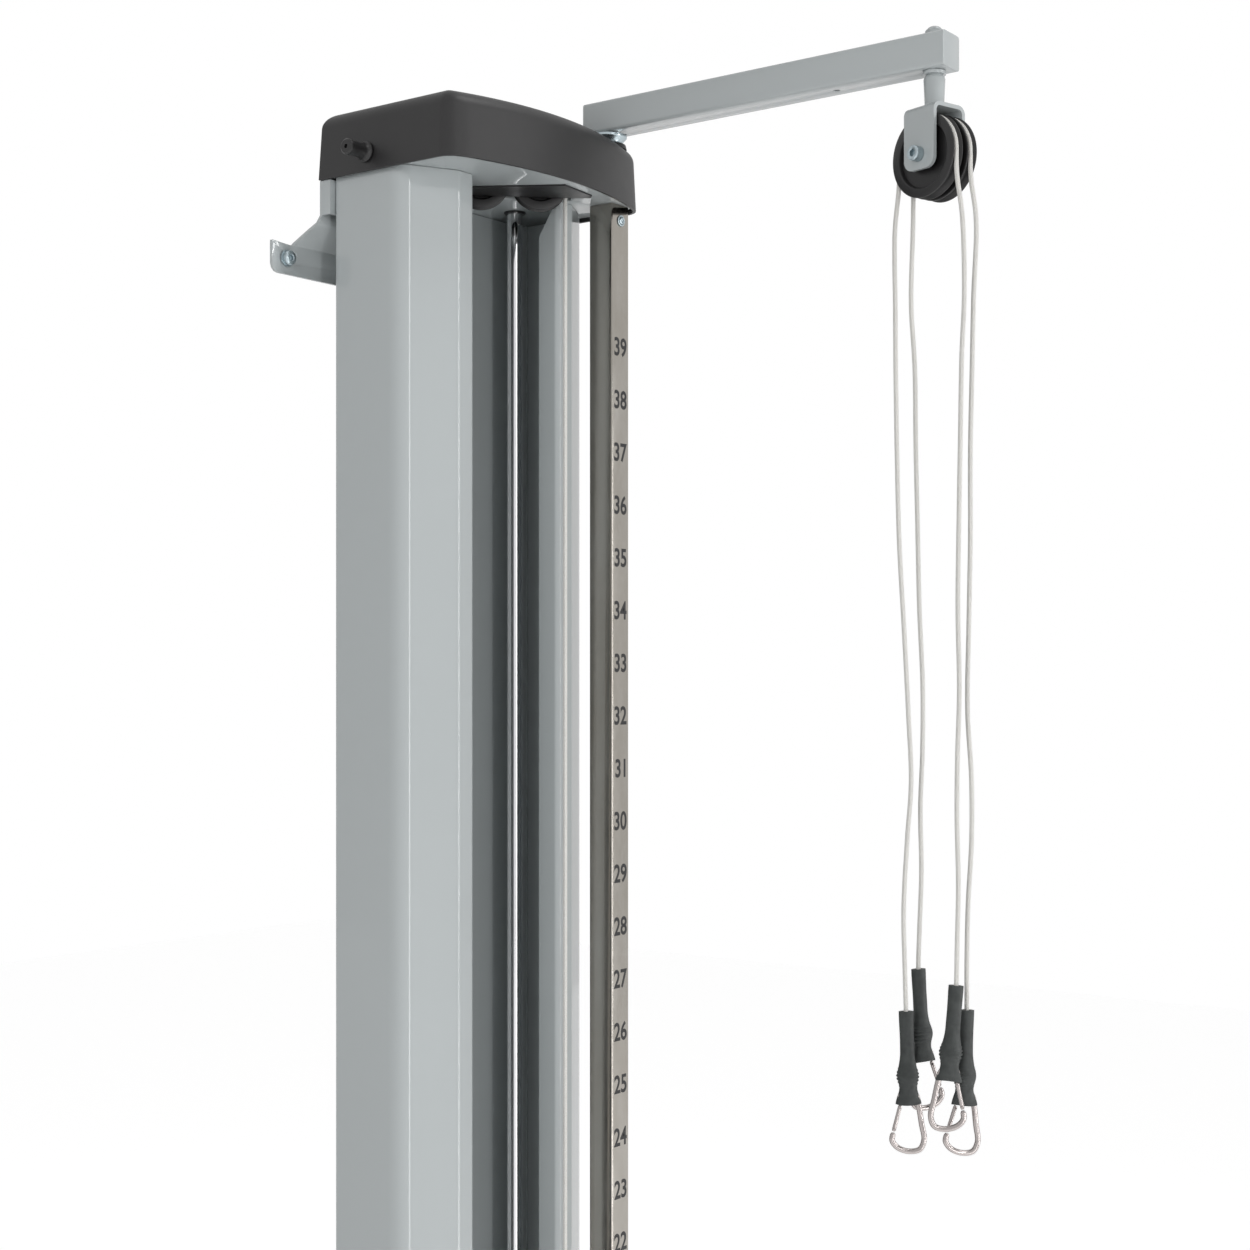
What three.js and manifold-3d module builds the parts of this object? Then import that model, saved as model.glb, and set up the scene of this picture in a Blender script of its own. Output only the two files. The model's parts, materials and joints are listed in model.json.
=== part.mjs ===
// Wall pulley weight stack: a slim wall tower with a numbered pole, a sliding carriage,
// a rope over two head pulleys, guided weights, and an arm with two hanging ropes.
// Millimetres, +Z up, +Y towards the wall, -Y towards the user.
import * as THREE from 'three';
import { mergeVertices } from 'three/addons/utils/BufferGeometryUtils.js';
import Module from 'manifold-3d';

const wasm = await Module();
wasm.setup();

// Clearances that every fit shares
const seatGap = 0.3;
const runGap = 0.4;
const cutOverrun = 5;

// Heights above the floor; the head follows the upper wall bracket
const baseHeight = 12;
const upperMountHeight = 2130;
const lowerMountHeight = 260;
const capAboveMount = 72;
const capLap = 3;
const capBottom = upperMountHeight + capAboveMount;
const columnTop = capBottom + capLap;
const capHeight = 60;
const numberPitch = 50;
const firstNumberHeight = 170;
const numberCount = 39;
const carriageStepCount = 11;

// Column casing, measured from the wall plane and the middle of the tower
const columnHalfWidth = 131;
const columnBack = -32;
const lipFront = -138;
const bendSetback = 29;
const columnBend = lipFront + bendSetback;
const frontWidth = 62;
const lipHalfGap = columnHalfWidth - frontWidth;
const lipDepth = 28;
const casingSheet = 2.5;
const casingBendRadius = 15;
const lipBendRadius = 7;
const rearFlange = 22;
const backPanelSheet = 2;
const panelFold = 9;

// Head cap, base cover and the plates inside them
const capOverhang = 7;
const capHalfWidth = columnHalfWidth + capOverhang;
const capBack = -19;
const capCornerReach = 37.5;
const capFrontReach = 63.5;
const capCorner = lipFront - capCornerReach;
const capFront = lipFront - capFrontReach;
const capWall = 3;
const capCornerRadius = 14;
const capEdgeRadius = 15;
const capDraft = 2;
const capCrown = 5;
const baseCoverHeight = 64;
const headSheet = 3;
const headRim = 5;

// Numbered pole and the arm above it
const poleInset = 22;
const poleReach = 22;
const poleX = columnHalfWidth - poleInset;
const poleY = lipFront - poleReach;
const poleSize = 27;
const poleWall = 2;
const poleCornerRadius = 3;
const lockHoleRadius = 4.5;
const armSize = 30;
const armWall = 2.5;
const armReach = 362;
const armTail = 20;
const armGap = 6;
const armBottom = capBottom + capHeight + capCrown + armGap;
const armCornerRadius = 3;
const armHoleReach = 250;
const armHoleRadius = 3;
const armTipInset = 16;
const armTipReach = armReach - armTipInset;
const armTop = armBottom + armSize;
const pivotRadius = 12;
const pivotFlange = 13.6;

// Ropes and pulleys
const ropeDiameter = 4;
const ropeRadius = ropeDiameter / 2;
const ropeGap = 0.6;
const headPulleyGap = 1.03;
const headFlangeDepth = 5.6;
const headPulleyWidth = 12;
const headAxleRise = 11.7;
const headAxleRadius = 4;
const pulleyHubWall = 4;
const pulleyRimWall = 3;
const ropeFromPole = 50.3;
const ropeDropReach = 8.2;
const ropeDropX = poleX - ropeFromPole;
const ropeDropY = lipFront - ropeDropReach;
const sheaveRadius = 36;
const sheaveGroove = 30.7;
const sheaveWidth = 12;
const sheaveOffset = 8.5;
const yokeTurn = THREE.MathUtils.degToRad(-16.5);

// Guide rods and weights
const rodRadius = 7.5;
const rodInset = 43.5;
const plateCount = 6;
const liftedPlateCount = 3;
const plateOverhang = 33;
const stackX = -12.78;
const stackFrontGap = 8;
const stackBackGap = 10;
const plateThickness = 16;
const liftPlateThickness = 20;
const stemRadius = 8;
const pinRadius = 3.5;
const pinReach = 12;
const pinEndGap = 1;
const bufferHeight = 26;
const bufferRadius = 15;

// Finishes
const greyPaint = { color: 0xb4bab9, roughness: 0.42, metalness: 0.1 };
const blackMoulding = { color: 0x3d3c3e, roughness: 0.62, metalness: 0 };
const blackPlastic = { color: 0x1c1c1d, roughness: 0.5, metalness: 0 };
const stainless = { color: 0xc8c2ba, roughness: 0.22, metalness: 1 };
const chrome = { color: 0xd8d8d8, roughness: 0.08, metalness: 1 };
const zinc = { color: 0xb9c4c6, roughness: 0.35, metalness: 1 };
const castIron = { color: 0x2c2d2e, roughness: 0.7, metalness: 0.3 };
const rubber = { color: 0x1d1e1e, roughness: 0.8, metalness: 0 };
const whiteRope = { color: 0xe8e6df, roughness: 0.85, metalness: 0 };

// Geometry helpers

// Merges equal corners and drops the flat triangles that a pole of a turned shape leaves
function weld(geometry) {
  const bare = geometry.index ? geometry.toNonIndexed() : geometry.clone();
  bare.deleteAttribute('normal');
  bare.deleteAttribute('uv');
  const merged = mergeVertices(bare, 1e-4);
  const kept = [];
  const index = merged.index.array;
  for (let i = 0; i < index.length; i += 3) {
    const [a, b, c] = [index[i], index[i + 1], index[i + 2]];
    if (a !== b && b !== c && c !== a) kept.push(a, b, c);
  }
  merged.setIndex(kept);
  return volume(merged) < 0 ? flipped(merged) : merged;
}

// Signed volume, positive when the faces point out
function volume(geometry) {
  const place = geometry.attributes.position;
  const index = geometry.index.array;
  const [a, b, c] = [new THREE.Vector3(), new THREE.Vector3(), new THREE.Vector3()];
  let sum = 0;
  for (let i = 0; i < index.length; i += 3) {
    a.fromBufferAttribute(place, index[i]);
    b.fromBufferAttribute(place, index[i + 1]);
    c.fromBufferAttribute(place, index[i + 2]);
    sum += a.dot(b.cross(c));
  }
  return sum / 6;
}

function flipped(geometry) {
  const index = geometry.index.array;
  for (let i = 0; i < index.length; i += 3) {
    [index[i], index[i + 1]] = [index[i + 1], index[i]];
  }
  return geometry;
}

function toSolid(geometry) {
  const welded = weld(geometry);
  const mesh = new wasm.Mesh({
    numProp: 3,
    vertProperties: new Float32Array(welded.attributes.position.array),
    triVerts: new Uint32Array(welded.index.array),
  });
  return new wasm.Manifold(mesh);
}

function toGeometry(solid) {
  const mesh = solid.getMesh();
  const geometry = new THREE.BufferGeometry();
  geometry.setAttribute('position', new THREE.BufferAttribute(new Float32Array(mesh.vertProperties), 3));
  geometry.setIndex([...mesh.triVerts]);
  return geometry;
}

function joined(first, ...rest) {
  let solid = toSolid(first);
  for (const piece of rest) solid = solid.add(toSolid(piece));
  return toGeometry(solid);
}

function cut(body, ...tools) {
  let solid = toSolid(body);
  for (const tool of tools) solid = solid.subtract(toSolid(tool));
  return toGeometry(solid);
}

function common(first, second) {
  return toGeometry(toSolid(first).intersect(toSolid(second)));
}

function box(xLow, xHigh, yLow, yHigh, zLow, zHigh) {
  const geometry = new THREE.BoxGeometry(xHigh - xLow, yHigh - yLow, zHigh - zLow);
  return geometry.translate((xLow + xHigh) / 2, (yLow + yHigh) / 2, (zLow + zHigh) / 2);
}

// An outline of [x, y] points raised from one height to another
function raised(points, zLow, zHigh, holes = []) {
  const shape = new THREE.Shape(points.map(([x, y]) => new THREE.Vector2(x, y)));
  for (const hole of holes) {
    shape.holes.push(new THREE.Path(hole.map(([x, y]) => new THREE.Vector2(x, y))));
  }
  const geometry = new THREE.ExtrudeGeometry(shape, { depth: zHigh - zLow, bevelEnabled: false });
  return geometry.translate(0, 0, zLow);
}

// A profile of [radius, height] points turned round the Z axis
function turned(profile, sides) {
  const points = profile.map(([r, z]) => new THREE.Vector2(r, z));
  return new THREE.LatheGeometry(points, sides).rotateX(Math.PI / 2);
}

// A closed ring profile, turned round the Z axis
function turnedRing(profile, sides) {
  return turned([...profile, profile[0]], sides);
}

function rod(radius, zLow, zHigh, sides) {
  return turned([[0, zLow], [radius, zLow], [radius, zHigh], [0, zHigh]], sides);
}

function rodAlongX(radius, xLow, xHigh, y, z, sides) {
  return rod(radius, xLow, xHigh, sides).rotateY(Math.PI / 2).translate(0, y, z);
}

function rodAlongY(radius, yLow, yHigh, x, z, sides) {
  return rod(radius, -yHigh, -yLow, sides).rotateX(Math.PI / 2).translate(x, 0, z);
}

// Points of an arc about a centre, from one angle to another
function arc(centreX, centreY, radius, from, to, steps) {
  return Array.from({ length: steps + 1 }, (_, k) => {
    const angle = from + ((to - from) * k) / steps;
    return [centreX + radius * Math.cos(angle), centreY + radius * Math.sin(angle)];
  });
}

function roundedRectangle(centreX, centreY, width, depth, radius, steps = 3) {
  const [x, y] = [width / 2 - radius, depth / 2 - radius];
  const quarter = Math.PI / 2;
  return [
    ...arc(centreX + x, centreY + y, radius, 0, quarter, steps),
    ...arc(centreX - x, centreY + y, radius, quarter, 2 * quarter, steps),
    ...arc(centreX - x, centreY - y, radius, 2 * quarter, 3 * quarter, steps),
    ...arc(centreX + x, centreY - y, radius, 3 * quarter, 4 * quarter, steps),
  ];
}

// The outline of a sheet folded along a path of [x, y] corners, with one bend radius for each
function foldedSheet(path, radii, thickness, bendSteps = 4) {
  const corners = path.map(([x, y]) => new THREE.Vector2(x, y));
  const track = [{ at: corners[0], along: corners[1].clone().sub(corners[0]).normalize() }];
  for (let i = 1; i < corners.length - 1; i += 1) {
    const before = corners[i].clone().sub(corners[i - 1]).normalize();
    const after = corners[i + 1].clone().sub(corners[i]).normalize();
    const turn = Math.atan2(before.cross(after), before.dot(after));
    const radius = radii[i - 1];
    const start = corners[i].clone().addScaledVector(before, -radius * Math.tan(Math.abs(turn) / 2));
    const side = new THREE.Vector2(-before.y, before.x).multiplyScalar(Math.sign(turn));
    const centre = start.clone().addScaledVector(side, radius);
    for (let k = 0; k <= bendSteps; k += 1) {
      const angle = (turn * k) / bendSteps;
      const at = start.clone().rotateAround(centre, angle);
      track.push({ at, along: before.clone().rotateAround(new THREE.Vector2(), angle) });
    }
  }
  const last = corners.length - 1;
  track.push({ at: corners[last], along: corners[last].clone().sub(corners[last - 1]).normalize() });
  const offset = (share) => track.map(({ at, along }) => [at.x - along.y * share, at.y + along.x * share]);
  return [...offset(thickness / 2), ...offset(-thickness / 2).reverse()];
}

// A rope's route keeps its hand-set points as its steps, so bends are fine and straights are long
class RopeRoute extends THREE.CatmullRomCurve3 {
  getUtoTmapping(u) {
    return u;
  }
}

function rope(points, radius, stepsPerSpan = 1, sides = 8) {
  const route = new RopeRoute(points, false, 'centripetal');
  const section = new THREE.Shape(
    arc(0, 0, radius, 0, 2 * Math.PI, sides).slice(0, sides).map(([x, y]) => new THREE.Vector2(x, y)),
  );
  const steps = stepsPerSpan * (points.length - 1);
  return new THREE.ExtrudeGeometry(section, { steps, extrudePath: route, bevelEnabled: false });
}

function straightRope(x, y, zLow, zHigh) {
  return rod(ropeRadius, zLow, zHigh, 8).translate(x, y, 0);
}

const tower = new THREE.Group();

function add(parent, name, geometry, finish) {
  const mesh = new THREE.Mesh(weld(geometry), new THREE.MeshStandardMaterial(finish));
  mesh.name = name;
  parent.add(mesh);
  return mesh;
}

// Places worked out from the driving sizes

const plateBack = columnBack - stackBackGap;
const plateFront = lipFront + lipDepth + stackFrontGap;
const plateDepth = plateBack - plateFront;
const rodSpacing = 2 * (columnHalfWidth - rodInset);
const plateLength = rodSpacing + plateOverhang;
const stackCentre = new THREE.Vector2(stackX, (plateBack + plateFront) / 2);
const ropeDrop = new THREE.Vector2(ropeDropX, ropeDropY);
const reeve = ropeDrop.clone().sub(stackCentre).normalize();
const reeveAngle = Math.atan2(reeve.y, reeve.x);
// The two head pulleys just fit between the rope's two drops
const flangeAboveRope = headFlangeDepth - ropeRadius - ropeGap;
const headPulleyRadius = (ropeDrop.distanceTo(stackCentre) - headPulleyGap + 2 * flangeAboveRope) / 4;
const headPulleyGroove = headPulleyRadius - headFlangeDepth;
const headRopeRadius = headPulleyRadius - flangeAboveRope;
const frontPulley = ropeDrop.clone().addScaledVector(reeve, -headRopeRadius);
const rearPulley = stackCentre.clone().addScaledVector(reeve, headRopeRadius);
const headPulleySpacing = frontPulley.distanceTo(rearPulley);
const headPlateBottom = columnTop + seatGap;
const headPlateTop = headPlateBottom + headSheet;
const headPulleyHeight = headPlateTop + headAxleRise;
const footTop = baseHeight + seatGap;
const stackBottom = baseHeight + bufferHeight + 2 * seatGap;
const platePitch = plateThickness + seatGap;
const liftPlateBottom = stackBottom + plateCount * platePitch;
const liftPlateTop = liftPlateBottom + liftPlateThickness;
const numberHeight = (n) => firstNumberHeight + numberPitch * (n - 1);

const cornerTrimShare = 1.5;

// The plan of the head: square at the wall, with a bowed front between two round corners
function headPlan(inset, frontSteps = 10, cornerSteps = 3) {
  const halfWidth = capHalfWidth - inset;
  const back = capBack - inset;
  const corner = capCorner + inset;
  const front = capFront + inset;
  const bow = corner - front;
  const radius = (halfWidth ** 2 + bow ** 2) / (2 * bow);
  const halfSweep = Math.asin(halfWidth / radius);
  const round = Math.max(capCornerRadius - inset, casingSheet);
  const sweep = halfSweep - (round * cornerTrimShare) / radius;
  const bowed = arc(0, front + radius, radius, -Math.PI / 2 - sweep, -Math.PI / 2 + sweep, frontSteps);
  const lastBowed = bowed[bowed.length - 1];
  const rightCorner = cornerCurve(lastBowed, [halfWidth, corner], [halfWidth, corner + round], cornerSteps);
  const leftCorner = cornerCurve([-halfWidth, corner + round], [-halfWidth, corner], bowed[0], cornerSteps);
  return [...bowed, ...rightCorner, [halfWidth, back], [-halfWidth, back], ...leftCorner];
}

// The points inside a smooth corner between two points, drawn towards a third
function cornerCurve(from, towards, to, steps) {
  const corners = [from, towards, to].map(([x, y]) => new THREE.Vector2(x, y));
  const curve = new THREE.QuadraticBezierCurve(...corners);
  const points = curve.getPoints(steps).map((p) => [p.x, p.y]);
  const fromBow = Math.abs(from[0]) < Math.abs(to[0]);
  return fromBow ? points.slice(1) : points.slice(0, -1);
}

// A closed skin over rings of equal length, ending in a point at each end if one is given
function lofted(rings, firstPoint, lastPoint) {
  const count = rings[0].length;
  const corners = rings.flat();
  const faces = [];
  for (let r = 0; r + 1 < rings.length; r += 1) {
    for (let k = 0; k < count; k += 1) {
      const [a, b] = [r * count + k, r * count + ((k + 1) % count)];
      faces.push(a, b, b + count, a, b + count, a + count);
    }
  }
  const ends = [[firstPoint, 0, true], [lastPoint, (rings.length - 1) * count, false]];
  for (const [point, start, reverse] of ends) {
    corners.push(point);
    for (let k = 0; k < count; k += 1) {
      const [a, b] = [start + k, start + ((k + 1) % count)];
      faces.push(...(reverse ? [b, a, corners.length - 1] : [a, b, corners.length - 1]));
    }
  }
  const geometry = new THREE.BufferGeometry();
  geometry.setAttribute('position', new THREE.Float32BufferAttribute(corners.flat(), 3));
  geometry.setIndex(faces);
  return geometry;
}

// Casing

function casingHalf(side) {
  const half = casingSheet / 2;
  const path = [
    [columnHalfWidth - rearFlange, columnBack - half],
    [columnHalfWidth - half, columnBack - half],
    [columnHalfWidth - half, columnBend],
    [lipHalfGap + half, lipFront + half],
    [lipHalfGap + half, lipFront + lipDepth],
  ];
  const outline = foldedSheet(path, [casingSheet, casingBendRadius, lipBendRadius], casingSheet, 5);
  return raised(outline.map(([x, y]) => [x * side, y]), footTop, columnTop);
}

function backPanel() {
  const front = columnBack - casingSheet - seatGap - backPanelSheet / 2;
  const fold = front - panelFold;
  const halfWidth = columnHalfWidth - casingSheet - seatGap - backPanelSheet / 2;
  const path = [[-halfWidth, fold], [-halfWidth, front], [halfWidth, front], [halfWidth, fold]];
  return raised(foldedSheet(path, [backPanelSheet, backPanelSheet], backPanelSheet, 3), footTop, columnTop);
}

// Moulded cap: a shell with a rounded top edge, open below, with a hole for the arm's pivot
function topCap() {
  const shell = (offset, floor) => {
    const sideTop = capBottom + capHeight - capEdgeRadius;
    const levels = [[0, floor], [capDraft, sideTop]];
    const edgeSteps = 4;
    for (let k = 1; k <= edgeSteps; k += 1) {
      const angle = (Math.PI / 2) * (k / edgeSteps);
      const inset = capDraft + (capEdgeRadius - offset) * (1 - Math.cos(angle));
      levels.push([inset, sideTop + (capEdgeRadius - offset) * Math.sin(angle)]);
    }
    return levels.map(([inset, z]) => headPlan(inset + offset).map(([x, y]) => [x, y, z]));
  };
  const middle = (capBack + capFront) / 2;
  const crownHeight = capBottom + capHeight + capCrown;
  const outer = lofted(shell(0, capBottom), [0, middle, capBottom], [0, middle, crownHeight]);
  const inner = lofted(shell(capWall, capBottom - cutOverrun), [0, middle, capBottom - cutOverrun],
    [0, middle, crownHeight - capWall]);
  const pivotHole = rod(pivotRadius + 2 * runGap, capBottom, crownHeight + cutOverrun, 16);
  return cut(outer, inner, pivotHole.translate(poleX, poleY, 0));
}

function baseCover() {
  const outer = raised(headPlan(0), seatGap, baseCoverHeight);
  return cut(outer, raised(headPlan(capWall), seatGap - cutOverrun, baseCoverHeight + cutOverrun));
}

// Painted head plate with a turned-up rim and the slot that the head pulleys hang through
function headPlate() {
  const edge = capWall + capDraft + seatGap;
  const plate = raised(headPlan(edge), headPlateBottom, headPlateTop + headRim);
  const pocket = raised(headPlan(edge + headSheet), headPlateTop, headPlateTop + headRim + cutOverrun);
  const slotLength = headPulleySpacing + 2 * headPulleyRadius + 2 * headSheet;
  const slotWidth = headPulleyWidth + 2 * headSheet;
  const slot = raised(roundedRectangle(0, 0, slotLength, slotWidth, headSheet), headPlateBottom - cutOverrun,
    headPlateTop + cutOverrun);
  const middle = frontPulley.clone().add(rearPulley).divideScalar(2);
  slot.rotateZ(reeveAngle).translate(middle.x, middle.y, 0);
  return cut(plate, pocket, slot);
}

// Wall bracket: ears flat on the wall, a joggle, and a channel that meets the tower's back
const bracketSheet = 3;
const earHalfLength = 179;
const earBelow = 14;
const earAbove = 14;
const joggleRise = 19;
const channelSideGap = 2;
const channelHalfWidth = columnHalfWidth + bracketSheet + channelSideGap;
const channelTop = capAboveMount - seatGap;
const channelBack = -20.5;
const channelLip = 16;
const earHoleX = 162;
const earHoleRadius = 4.5;
const earCornerRadius = 8;

function wallBracket(height) {
  const half = bracketSheet / 2;
  const joggleTop = earAbove + joggleRise;
  const section = foldedSheet(
    [[-half, -earBelow], [-half, earAbove], [channelBack, joggleTop], [channelBack, channelTop]],
    [bracketSheet, bracketSheet], bracketSheet, 3,
  );
  const strip = raised(section, -earHalfLength, earHalfLength).rotateY(Math.PI / 2).rotateX(Math.PI / 2);
  const [cornerX, cornerZ] = [earHalfLength - earCornerRadius, earCornerRadius - earBelow];
  const lower = arc(cornerX, cornerZ, earCornerRadius, -Math.PI / 2, 0, 3);
  const side = [
    ...lower,
    [earHalfLength, earAbove],
    [earHoleX - earCornerRadius, earAbove - half],
    [channelHalfWidth + joggleRise / 2, joggleTop - joggleRise / 3],
    [channelHalfWidth, joggleTop + earCornerRadius],
    [channelHalfWidth, channelTop + cutOverrun],
  ];
  const outline = [...side, ...side.map(([x, z]) => [-x, z]).reverse()];
  const face = raised(outline, -cutOverrun, -channelBack + cutOverrun).rotateX(Math.PI / 2);
  const front = columnBack + seatGap;
  const spanX = (sign, width) => [sign * channelHalfWidth, sign * (channelHalfWidth - width)].sort((a, b) => a - b);
  const flange = (sign) => {
    const low = joggleTop + earCornerRadius;
    const side = box(...spanX(sign, bracketSheet), front, channelBack, low, channelTop);
    const lip = box(...spanX(sign, channelLip), front, front + bracketSheet, low, channelTop);
    return joined(side, lip);
  };
  const hole = (sign) => rodAlongY(earHoleRadius, -cutOverrun, cutOverrun, sign * earHoleX, 0, 12);
  return cut(joined(common(strip, face), flange(-1), flange(1)), hole(-1), hole(1)).translate(0, 0, height);
}

const washerRadius = 10;
const washerSheet = 2;
const boltHeadRadius = 6.5;
const boltHeadHeight = 4.5;
const socketRadius = 2.6;
const socketDepth = 2.5;

function wallBolt(x, height) {
  const shankRadius = earHoleRadius - runGap;
  const face = bracketSheet + seatGap;
  const washerTop = face + washerSheet;
  const boltTop = washerTop + boltHeadHeight;
  const head = turned([
    [0, 0], [shankRadius, 0], [shankRadius, face], [washerRadius, face], [washerRadius, washerTop],
    [boltHeadRadius, washerTop], [boltHeadRadius, boltTop], [socketRadius, boltTop],
    [socketRadius, boltTop - socketDepth], [0, boltTop - socketDepth],
  ], 12);
  return head.rotateX(Math.PI / 2).translate(x, 0, height);
}

// Side peg on the cap for hanging straps
const pegRadius = 7;
const pegLength = 25;
const pegY = -77.4;
const pegRise = 16.5;
const pegHeight = capBottom + pegRise;
const pegFlange = 2;
const pegChamfer = 1;
const pegRecessRadius = 1.6;
const pegRecessDepth = 2;

function accessoryPeg() {
  const recess = pegLength - pegRecessDepth;
  const profile = [
    [0, 0], [pegRadius + pegFlange, 0], [pegRadius + pegFlange, pegFlange],
    [pegRadius, pegFlange + pegChamfer], [pegRadius, pegLength - pegChamfer],
    [pegRadius - pegChamfer, pegLength], [pegRecessRadius, pegLength], [pegRecessRadius, recess], [0, recess],
  ];
  return turned(profile, 12).rotateY(-Math.PI / 2).translate(-capHalfWidth - seatGap, pegY, pegHeight);
}

// Numbered pole: a square stainless tube with a row of lock holes in its hidden side
function numberPole() {
  const inner = poleSize - 2 * poleWall;
  const outline = roundedRectangle(poleX, poleY, poleSize, poleSize, poleCornerRadius);
  const bore = roundedRectangle(poleX, poleY, inner, inner, poleCornerRadius - poleWall, 1).reverse();
  let solid = toSolid(raised(outline, footTop, columnTop, [bore]));
  for (let n = 1; n <= numberCount; n += 1) {
    const side = poleX + poleSize / 2;
    const start = side - 2 * poleWall;
    const hole = rodAlongX(lockHoleRadius, start, side + cutOverrun, poleY, numberHeight(n), 6);
    solid = solid.subtract(toSolid(hole));
  }
  return toGeometry(solid);
}

const poleScrewDrop = 15;
const poleScrewRadius = 4.6;
const poleScrewRim = 1;
const poleScrewDome = 2.4;
const poleScrewCrownRadius = 3.4;
const poleScrewSocket = 1.8;

function poleScrew() {
  const head = turned([
    [0, 0], [poleScrewRadius, 0], [poleScrewRadius, poleScrewRim], [poleScrewCrownRadius, poleScrewDome],
    [poleScrewSocket, poleScrewDome], [poleScrewSocket, poleScrewRim], [0, poleScrewRim],
  ], 10);
  return head.rotateX(Math.PI / 2).translate(poleX, poleY - poleSize / 2 - seatGap, columnTop - poleScrewDrop);
}

const webShare = 1 / 6;

// Pulleys: a hub, a thin web and a grooved rim, turned round the Z axis
function pulley(radius, groove, width, bore, sides) {
  const half = width / 2;
  const web = width * webShare;
  const hub = bore + pulleyHubWall;
  const rimInside = groove - pulleyRimWall;
  const flat = ropeRadius + ropeGap / 2;
  const side = [
    [bore, half], [hub, half], [hub, web], [rimInside, web], [rimInside, half], [radius, half],
    [groove, flat],
  ];
  const mirrored = side.map(([r, z]) => [r, -z]).reverse();
  return turnedRing([...mirrored, ...side], sides);
}

// Turns a piece made round the Z axis so that its axle lies across the head rope's plane
function acrossReeve(geometry, centre, height) {
  return geometry.rotateX(Math.PI / 2).rotateZ(reeveAngle).translate(centre.x, centre.y, height);
}

const bracketFoot = 12;
const bracketLength = 68;
const headBracketSheet = 3;
const headAxleProud = 2;

// Hat-shaped bracket over the head plate's slot, with both pulley axles
function pulleyBracket() {
  const half = headBracketSheet / 2;
  const cheek = headPulleyWidth / 2 + runGap + half;
  const roof = headPulleyHeight + headRopeRadius + ropeDiameter + half;
  const foot = headPlateTop + seatGap + half;
  const path = [[-cheek - bracketFoot, foot], [-cheek, foot], [-cheek, roof], [cheek, roof], [cheek, foot],
    [cheek + bracketFoot, foot]];
  const bends = [headBracketSheet, headBracketSheet, headBracketSheet, headBracketSheet];
  const section = foldedSheet(path, bends, headBracketSheet, 2);
  const hat = raised(section, -bracketLength / 2, bracketLength / 2).rotateX(Math.PI / 2);
  const middle = frontPulley.clone().add(rearPulley).divideScalar(2);
  hat.rotateZ(Math.PI / 2 + reeveAngle).translate(middle.x, middle.y, 0);
  const end = cheek + half + headAxleProud;
  const axle = (centre) => acrossReeve(rod(headAxleRadius, -end, end, 10), centre, headPulleyHeight);
  return joined(hat, axle(frontPulley), axle(rearPulley));
}

function headPulley(centre) {
  const wheel = pulley(headPulleyRadius, headPulleyGroove, headPulleyWidth, headAxleRadius + runGap, 14);
  return acrossReeve(wheel, centre, headPulleyHeight);
}

// Rope over both head pulleys, from above the weights to above the pole's carriage
const headRopeTail = 8;

function headRope() {
  const at = (centre, angle) => {
    const out = centre.clone().addScaledVector(reeve, headRopeRadius * Math.cos(angle));
    return new THREE.Vector3(out.x, out.y, headPulleyHeight + headRopeRadius * Math.sin(angle));
  };
  const steps = 6;
  const quarter = Math.PI / 2;
  const points = [new THREE.Vector3(stackCentre.x, stackCentre.y, headPulleyHeight - headRopeTail)];
  for (let k = 0; k <= steps; k += 1) points.push(at(rearPulley, Math.PI - (quarter * k) / steps));
  for (let k = 0; k <= steps; k += 1) points.push(at(frontPulley, quarter - (quarter * k) / steps));
  points.push(new THREE.Vector3(ropeDrop.x, ropeDrop.y, headPulleyHeight - headRopeTail));
  return rope(points, ropeRadius);
}

// Weights

const plateCornerRadius = 6;
const joinSink = 1;

function plateSolid(bottom, thickness, extraHoles = []) {
  const { x: centreX, y: centreY } = stackCentre;
  const outline = roundedRectangle(centreX, centreY, plateLength, plateDepth, plateCornerRadius, 2);
  const solid = raised(outline, bottom, bottom + thickness);
  const [low, high] = [bottom - cutOverrun, bottom + thickness + cutOverrun];
  const through = (x, radius) => rod(radius, low, high, 12).translate(x, stackCentre.y, 0);
  const rods = [-1, 1].map((sign) => through(stackCentre.x + (sign * rodSpacing) / 2, rodRadius + runGap));
  return cut(solid, ...rods, through(stackCentre.x, stemRadius + runGap), ...extraHoles);
}

function weightPlate(level) {
  const bottom = stackBottom + (plateCount - level) * platePitch;
  const front = stackCentre.y - plateDepth / 2;
  const pinHole = rodAlongY(pinRadius + runGap, front - cutOverrun, stackCentre.y + pinReach + pinEndGap,
    stackCentre.x, bottom + plateThickness / 2, 8);
  return plateSolid(bottom, plateThickness, [pinHole]);
}

const bushRadius = 12;
const bushHeight = 42;

// Top weight with two long bushes that run on the guide rods
function liftPlate() {
  const bush = (sign) => {
    const x = stackCentre.x + (sign * rodSpacing) / 2;
    const inside = rodRadius + runGap;
    const tube = turnedRing(
      [[inside, -joinSink], [bushRadius, -joinSink], [bushRadius, bushHeight], [inside, bushHeight]], 12,
    );
    return tube.translate(x, stackCentre.y, liftPlateTop);
  };
  return joined(plateSolid(liftPlateBottom, liftPlateThickness), bush(-1), bush(1));
}

const stemHeadHeight = 30;
const stemChamfer = 2;
const stemCollarWidth = 5;
const stemCollarHeight = 6;
const stemNeckHeight = 9;
const ropeSocketGap = 1;
const ropeSocketDepth = 4;

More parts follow.
